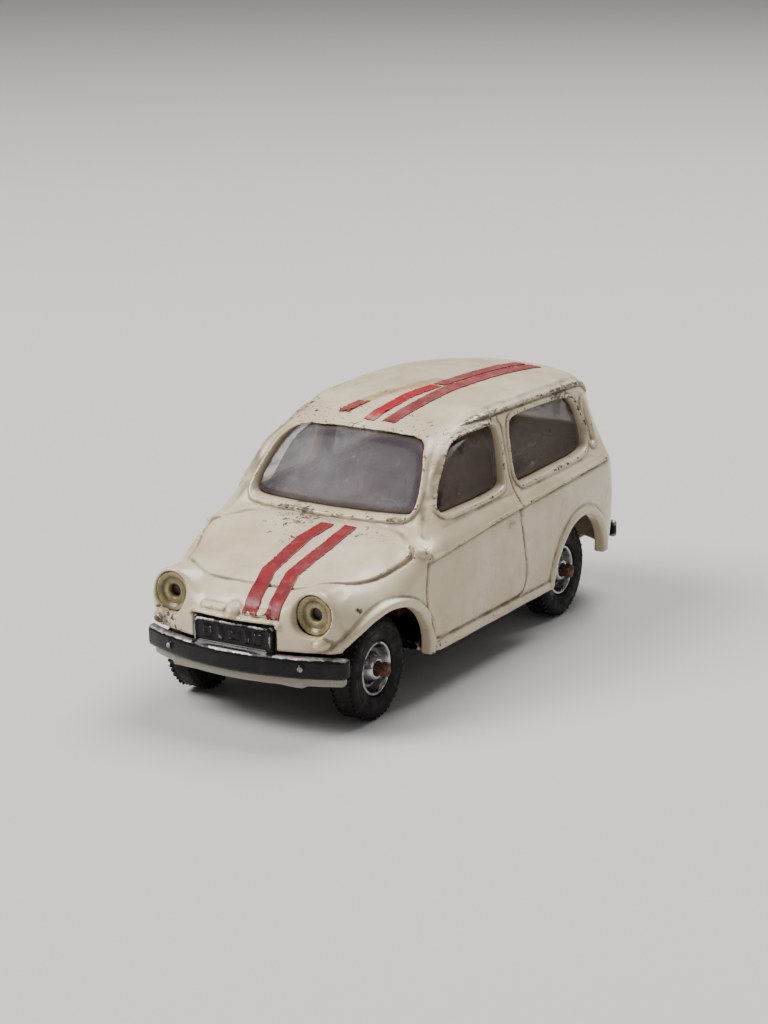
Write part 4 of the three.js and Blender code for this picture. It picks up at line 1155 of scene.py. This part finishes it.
# %% Axles with hammered ends
axle_profile = soft_profile([
    (0.0, -13.85), (0.45, -13.9), (0.80, -13.68), (0.86, -13.2), (0.77, -12.85), (0.75, -12.2), (0.75, 12.2),
    (0.77, 12.85), (0.86, 13.2), (0.80, 13.68), (0.45, 13.9), (0.0, 13.85)], 0.12, close=False)[1:-1]
for end, axle_y in ENDS.items():
    points, faces = lathe(axle_profile, 28, close=False)
    ends = ease(np.abs(points[:, 2]), 12.4, 13.2)
    angle = np.arctan2(points[:, 1], points[:, 0])
    swell = 1 + ends * (0.07 * np.sin(3 * angle + axle_y) + 0.05 * np.sin(7 * angle + points[:, 2] * 5))
    points[:, :2] *= np.where(np.hypot(points[:, 0], points[:, 1]) > 0.1, swell, 1)[:, None]
    place = moved(0, axle_y, AXLE_Z) @ SIDEWAYS["left"]
    mesh = turned_mesh(f"{end}_axle_pin_steel", points, faces, rusty, place)
    place_piece(f"{end}_axle_pin_steel", mesh, f"{end}_axle_pin", "rusty_steel", f"{end}_axle")

# %% Rivets, peened over a hollow
rivet_profile = soft_profile([
    (0.0, -0.28), (0.45, -0.25), (0.75, -0.42), (1.25, -0.5), (1.62, -0.32), (1.7, -0.08), (1.6, 0.0),
    (0.8, 0.0), (0.8, 3.4), (0.0, 3.4)], 0.1, close=False)[1:-1]
for end, rivet_y in RIVETS.items():
    points, faces = lathe(rivet_profile, 36, close=False)
    angle = np.arctan2(points[:, 1], points[:, 0])
    head = (points[:, 2] < 0.02) & (np.hypot(points[:, 0], points[:, 1]) > 0.9)
    points[:, :2] *= (1 + head * 0.03 * np.sin(5 * angle + rivet_y))[:, None]
    mesh = turned_mesh(f"{end}_rivet_peened", points, faces, rivet_metal, moved(0, rivet_y, 5.75))
    place_piece(f"{end}_rivet_peened", mesh, "car_body", "rivet_metal", f"{end}_rivet")

# %% Headlamps: a dished ring round a well, with painted shade in the well and in one ring
lamp_profile = soft_profile([
    (0.0, -0.55), (0.72, -0.5), (0.78, 0.35), (0.95, 0.5), (1.5, 0.36), (1.72, 0.62), (2.12, 0.86),
    (2.28, 0.7), (2.28, -0.9), (0.0, -0.9)], 0.1, close=False)[1:-1]
lamp_y = float(nose_at(LAMP_X, LAMP_Z)) + 0.95
facing = Matrix.Rotation(math.pi / 2, 4, "X")
for hand, sign in (("left", 1), ("right", -1)):
    points, faces = lathe(lamp_profile, 64, close=False)
    place = moved(sign * LAMP_X, lamp_y, LAMP_Z)
    mesh = turned_mesh(f"headlamp_ring_{hand}", points, faces, lamp_plastic, place @ facing)
    local = points_of(mesh) - np.array([sign * LAMP_X, lamp_y, LAMP_Z])
    radius = np.hypot(local[:, 0], local[:, 2])
    # Painted shade in the well and in the ring at radius 1.55, where the dish dips.
    well = (radius < 0.85) * ease(local[:, 1], -0.45, 0.1)
    store(mesh, "shade", np.clip(well + 0.55 * (1 - ease(np.abs(radius - 1.55), 0.05, 0.3)), 0, 1))
    place_piece(f"headlamp_ring_{hand}", mesh, "car_body", "lamp_plastic", f"headlamp_insert_{hand}")

# %% [markdown]
# ## Tyres
# A tyre is a turned ring with a row of small teeth round each edge of its tread. Teeth that repeat
# round a circle are a job for Geometry Nodes: the tree takes the ring, puts a circle of points at
# each tread edge, stands a tooth on every point, and varies their size a little with a fixed seed.

# %% The tread tree
def tread_tree():
    tree = bpy.data.node_groups.new("tyre_tread", "GeometryNodeTree")
    sockets = tree.interface
    sockets.new_socket("Geometry", in_out="INPUT", socket_type="NodeSocketGeometry")
    for name, kind in (
            ("Teeth", "Int"), ("Radius", "Float"), ("Tooth Width", "Float"), ("Tooth Height", "Float"),
            ("Middle", "Vector"), ("Row Spread", "Float"), ("Seed", "Int"), ("Rubber", "Material")):
        sockets.new_socket(name, in_out="INPUT", socket_type=f"NodeSocket{kind}")
    sockets.new_socket("Geometry", in_out="OUTPUT", socket_type="NodeSocketGeometry")
    new, link = tree.nodes.new, tree.links.new
    given, result = new("NodeGroupInput").outputs, new("NodeGroupOutput").inputs

    def maths(operation, a, b):
        node = new("ShaderNodeMath")
        node.operation = operation
        for value, socket in zip((a, b), node.inputs):
            if isinstance(value, (int, float)):
                socket.default_value = value
            else:
                link(value, socket)
        return node.outputs[0]

    join_rows, join_all = new("GeometryNodeJoinGeometry"), new("GeometryNodeJoinGeometry")
    for row in (-1, 1):
        circle, shift = new("GeometryNodeMeshCircle"), new("GeometryNodeTransform")
        offset = new("ShaderNodeCombineXYZ")
        link(given["Teeth"], circle.inputs["Vertices"])
        link(given["Radius"], circle.inputs["Radius"])
        link(maths("MULTIPLY", given["Row Spread"], row), offset.inputs["Z"])
        link(circle.outputs["Mesh"], shift.inputs["Geometry"])
        link(offset.outputs["Vector"], shift.inputs["Translation"])
        shift.inputs["Rotation"].default_value = (0, 0, 0.0 if row < 0 else math.pi / 48)
        link(shift.outputs["Geometry"], join_rows.inputs["Geometry"])
    tooth = new("GeometryNodeMeshCone")
    align = new("FunctionNodeAlignRotationToVector")
    stand = new("GeometryNodeInstanceOnPoints")
    tooth.inputs["Vertices"].default_value = 4
    link(maths("MULTIPLY", given["Tooth Width"], 0.55), tooth.inputs["Radius Top"])
    link(given["Tooth Width"], tooth.inputs["Radius Bottom"])
    link(given["Tooth Height"], tooth.inputs["Depth"])
    flat, spoke = new("ShaderNodeVectorMath"), new("GeometryNodeInputPosition")
    flat.operation = "MULTIPLY"
    flat.inputs[1].default_value = (1, 1, 0)
    link(spoke.outputs["Position"], flat.inputs[0])
    align.axis = "Z"
    link(flat.outputs["Vector"], align.inputs["Vector"])
    vary = new("FunctionNodeRandomValue")
    vary.data_type = "FLOAT_VECTOR"
    vary.inputs["Min"].default_value, vary.inputs["Max"].default_value = (0.75, 0.8, 0.7), (1.2, 1.25, 1.05)
    link(given["Seed"], vary.inputs["Seed"])
    link(join_rows.outputs["Geometry"], stand.inputs["Points"])
    link(tooth.outputs["Mesh"], stand.inputs["Instance"])
    link(align.outputs["Rotation"], stand.inputs["Rotation"])
    link(vary.outputs["Value"], stand.inputs["Scale"])
    lay_over = new("GeometryNodeTransform")
    lay_over.inputs["Rotation"].default_value = (0, math.pi / 2, 0)
    link(stand.outputs["Instances"], lay_over.inputs["Geometry"])
    link(given["Middle"], lay_over.inputs["Translation"])
    link(lay_over.outputs["Geometry"], join_all.inputs["Geometry"])
    link(given["Geometry"], join_all.inputs["Geometry"])
    realize, paint = new("GeometryNodeRealizeInstances"), new("GeometryNodeSetMaterial")
    link(join_all.outputs["Geometry"], realize.inputs["Geometry"])
    link(realize.outputs["Geometry"], paint.inputs["Geometry"])
    link(given["Rubber"], paint.inputs["Material"])
    link(paint.outputs["Geometry"], result["Geometry"])
    return tree


def socket_name(tree, name):
    return next(s.identifier for s in tree.interface.items_tree if s.name == name and s.in_out == "INPUT")


tread = tread_tree()
print("tread inputs:", [s.name for s in tread.interface.items_tree if s.in_out == "INPUT"])

# %% Four tyres
TYRE_X = 11.0
tyre_profile = soft_profile([
    (3.23, -1.5), (4.4, -1.68), (4.9, -1.7), (5.35, -1.62), (5.62, -1.35), (5.74, -0.95), (5.82, -0.5),
    (5.84, 0.0), (5.82, 0.5), (5.74, 0.95), (5.62, 1.35), (5.35, 1.62), (4.9, 1.7), (4.75, 1.62),
    (4.6, 1.7), (4.0, 1.66), (3.5, 1.5), (3.23, 1.35)], 0.15)
for end, axle_y in ENDS.items():
    for hand, turning in SIDEWAYS.items():
        name = f"{end}_{hand}_tyre"
        points, faces = lathe(tyre_profile, 96)
        angle = np.arctan2(points[:, 1], points[:, 0])
        points[:, 2] *= 1 + 0.015 * np.sin(3 * angle + axle_y)
        middle = moved(TYRE_X if hand == "left" else -TYRE_X, axle_y, AXLE_Z)
        carcass = turned_mesh(f"{name}_carcass", points, faces, rubber, middle @ turning)
        blank = bpy.data.objects.new(f"{name}_blank", carcass)
        bpy.context.scene.collection.objects.link(blank)
        treading = blank.modifiers.new("tread", "NODES")
        treading.node_group = tread
        seed = len(bpy.data.objects) % 17
        for socket, value in (
                ("Teeth", 48), ("Radius", 5.60 * MM), ("Tooth Width", 0.30 * MM), ("Tooth Height", 0.38 * MM),
                ("Middle", middle.translation), ("Row Spread", 1.18 * MM), ("Seed", seed),
                ("Rubber", rubber.material)):
            treading[socket_name(tread, socket)] = value
        mesh = evaluated_mesh(blank)
        mesh.name = f"{name}_toothed"
        place_piece(f"{name}_toothed", mesh, f"{end}_{hand}_wheel", "tyre_rubber", name)

# %% [markdown]
# ## Tapes
# The stripes are strips of adhesive tape. A strip is a grid of points laid on the body: each point
# starts on an axis inside the car and runs outwards until it meets the paint. The strip's sides
# are slightly ragged, its ends are torn, and it wrinkles in a few places, so each strip is
# cut and lifted a little by seeded noise.

# %% Lay a strip on the body
def meet_body(origin, direction, lift):
    near, far = np.full(len(origin), 4.0), np.full(len(origin), 34.0)
    for _ in range(26):
        middle = (near + far) / 2
        place = (origin + direction * middle[:, None]).T
        inside = np.minimum(outer_body(*place), plain_body(*place)) < lift  # tape bridges a groove
        near, far = np.where(inside, middle, near), np.where(inside, far, middle)
    return origin + direction * ((near + far) / 2)[:, None]


def ragged(count, size, draws, smooth=3):
    values = np.convolve(draws.standard_normal(count + 2 * smooth), np.ones(smooth) / smooth, "same")
    return size * values[smooth:-smooth]


def crease_shade(points):
    """A painted shade line where a tape bridges the bonnet's front shut line."""
    shut_line = -32.1 + 0.02 * points[:, 0] ** 2
    return 0.9 * np.exp(-(((points[:, 1] - shut_line) / 0.16) ** 2)) * (points[:, 2] < 19)


def tape_strip(name, stations, half_width, finish, slot, node, seed, start=(0.1, 0.5), thickness=0.09):
    """Stations are (x, lean) pairs on the bonnet or (x, y) pairs on the roof, in order along the strip."""
    draws = np.random.default_rng(seed)
    stations = np.array(stations, float)
    run = np.concatenate([[0], np.cumsum(np.hypot(*np.diff(stations, axis=0).T))])
    rows, columns = max(40, int(run[-1] / (0.9 if node.startswith("bonnet") else 0.16))), 17
    at = np.linspace(0, 1, rows)
    across = np.linspace(-1, 1, columns)
    torn_start, torn_end = ragged(columns, start[0], draws), ragged(columns, start[1], draws)
    down = at[:, None]
    share = down + (1 - down) ** 12 * (torn_start[None] / run[-1]) + down**12 * torn_end[None] / run[-1]
    first = np.interp(share * run[-1], run, stations[:, 0])
    second = np.interp(share * run[-1], run, stations[:, 1])
    sides = np.stack([ragged(rows, 0.035, draws, 2), ragged(rows, 0.035, draws, 2)])
    nicks = (np.abs(draws.standard_normal((2, rows))) > 2.4) * 0.14
    worn_sides = sides - nicks
    width = half_width + np.where(across[None] > 0, worn_sides[1][:, None], worn_sides[0][:, None])
    x = first + across[None] * width
    wrinkle = sum(0.035 * np.exp(-((at - middle) * run[-1] / 0.55) ** 2) for middle in draws.uniform(0, 1, 9))
    wrinkle = wrinkle[:, None] * (0.6 + 0.4 * np.sin(across[None] * 2 + at[:, None] * 30))
    if node.startswith("bonnet"):
        lean = np.radians(second)
        origin = np.stack([x, np.full_like(x, NOSE_Y + 16), np.full_like(x, 12.5)], -1).reshape(-1, 3)
        direction = np.stack([0 * lean, -np.sin(lean), np.cos(lean)], -1).reshape(-1, 3)
    else:
        origin = np.stack([x, second, np.full_like(x, 8.0)], -1).reshape(-1, 3)
        direction = np.tile([0.0, 0.0, 1.0], (len(origin), 1))
    count = rows * columns
    under = meet_body(origin, direction, 0.012)
    over = under + direction * (thickness + wrinkle.reshape(-1, 1))
    points = np.vstack([over, under])
    index = np.arange(count).reshape(rows, columns)
    quads = np.stack([index[:-1, :-1], index[:-1, 1:], index[1:, 1:], index[1:, :-1]], -1).reshape(-1, 4)
    rim = np.concatenate([index[0], index[1:, -1], index[-1, -2::-1], index[-2:0:-1, 0]])
    after = np.roll(rim, -1)
    wall = np.stack([rim, after, after + count, rim + count], -1)
    faces = np.vstack([quads, quads[:, ::-1] + count, wall[:, ::-1]])
    mesh = turned_mesh(name, points, faces, finish)
    found = points_of(mesh)
    edge_share = np.clip(np.abs(across) ** 8, 0, 1)[None] * np.ones((rows, 1))
    edge_share = np.maximum(edge_share, np.maximum((1 - at) ** 60, at**60)[:, None]).reshape(-1)
    # Torn edges, plus painted shade where a tape crosses the bonnet's shut line.
    store(mesh, "torn_and_crease_shade", np.clip(np.tile(edge_share, 2)[: len(found)] + crease_shade(found), 0, 1))
    lifted = (1 - ease(found[:, 1], -6.6, -3.4)) * ease(found[:, 2], 27, 28)
    store(mesh, "pale", lifted * (node == "roof_tape_bright"))
    return place_piece(name, mesh, "car_body", slot, node)


tape_strip(
    "bonnet_strip_left",
    [(4.3, -19), (4.3, 23), (3.95, 57), (3.85, 65), (4.6, 75.5), (4.9, 85), (4.95, 87)],
    0.82, rubbed_tape, "red_tape", "bonnet_tape_left", 11, (0.15, 2.0))
tape_strip(
    "bonnet_strip_right",
    [(1.3, -17.5), (0.75, 14), (0.9, 56), (0.85, 64.5), (1.6, 73), (2.0, 82), (2.3, 86)],
    0.92, rubbed_tape, "red_tape", "bonnet_tape_right", 12, (0.15, 2.0))
tape_strip("roof_strip_bright", [(-0.1, -6.2), (0.1, -4.0), (0.9, -0.8), (1.6, 2.5), (2.2, 6.0)], 0.78,
           red_tape, "red_tape", "roof_tape_bright", 13, (0.3, 0.2))
tape_strip(
    "roof_strip_left",
    [(2.5, -6.0), (3.1, -3.1), (3.6, -1.0), (4.0, 1.5), (4.1, 5.1), (4.6, 10.6), (5.0, 18.4), (5.1, 26.3)],
    0.85, dusty_tape, "dusty_tape", "roof_tape_left", 14, (0.2, 0.8))
tape_strip(
    "roof_strip_rear",
    [(2.3, 6.4), (2.5, 7.8), (2.95, 12.3), (3.15, 17.8), (3.1, 24.9), (3.2, 26.2)],
    0.72, dusty_tape, "dusty_tape", "roof_tape_rear", 15, (0.25, 0.6))
tape_strip("roof_strip_remnant", [(-4.5, -4.8), (-3.9, -3.0), (-3.3, -1.7)], 0.78,
           dusty_tape, "dusty_tape", "roof_tape_remnant", 16, (0.35, 0.5))
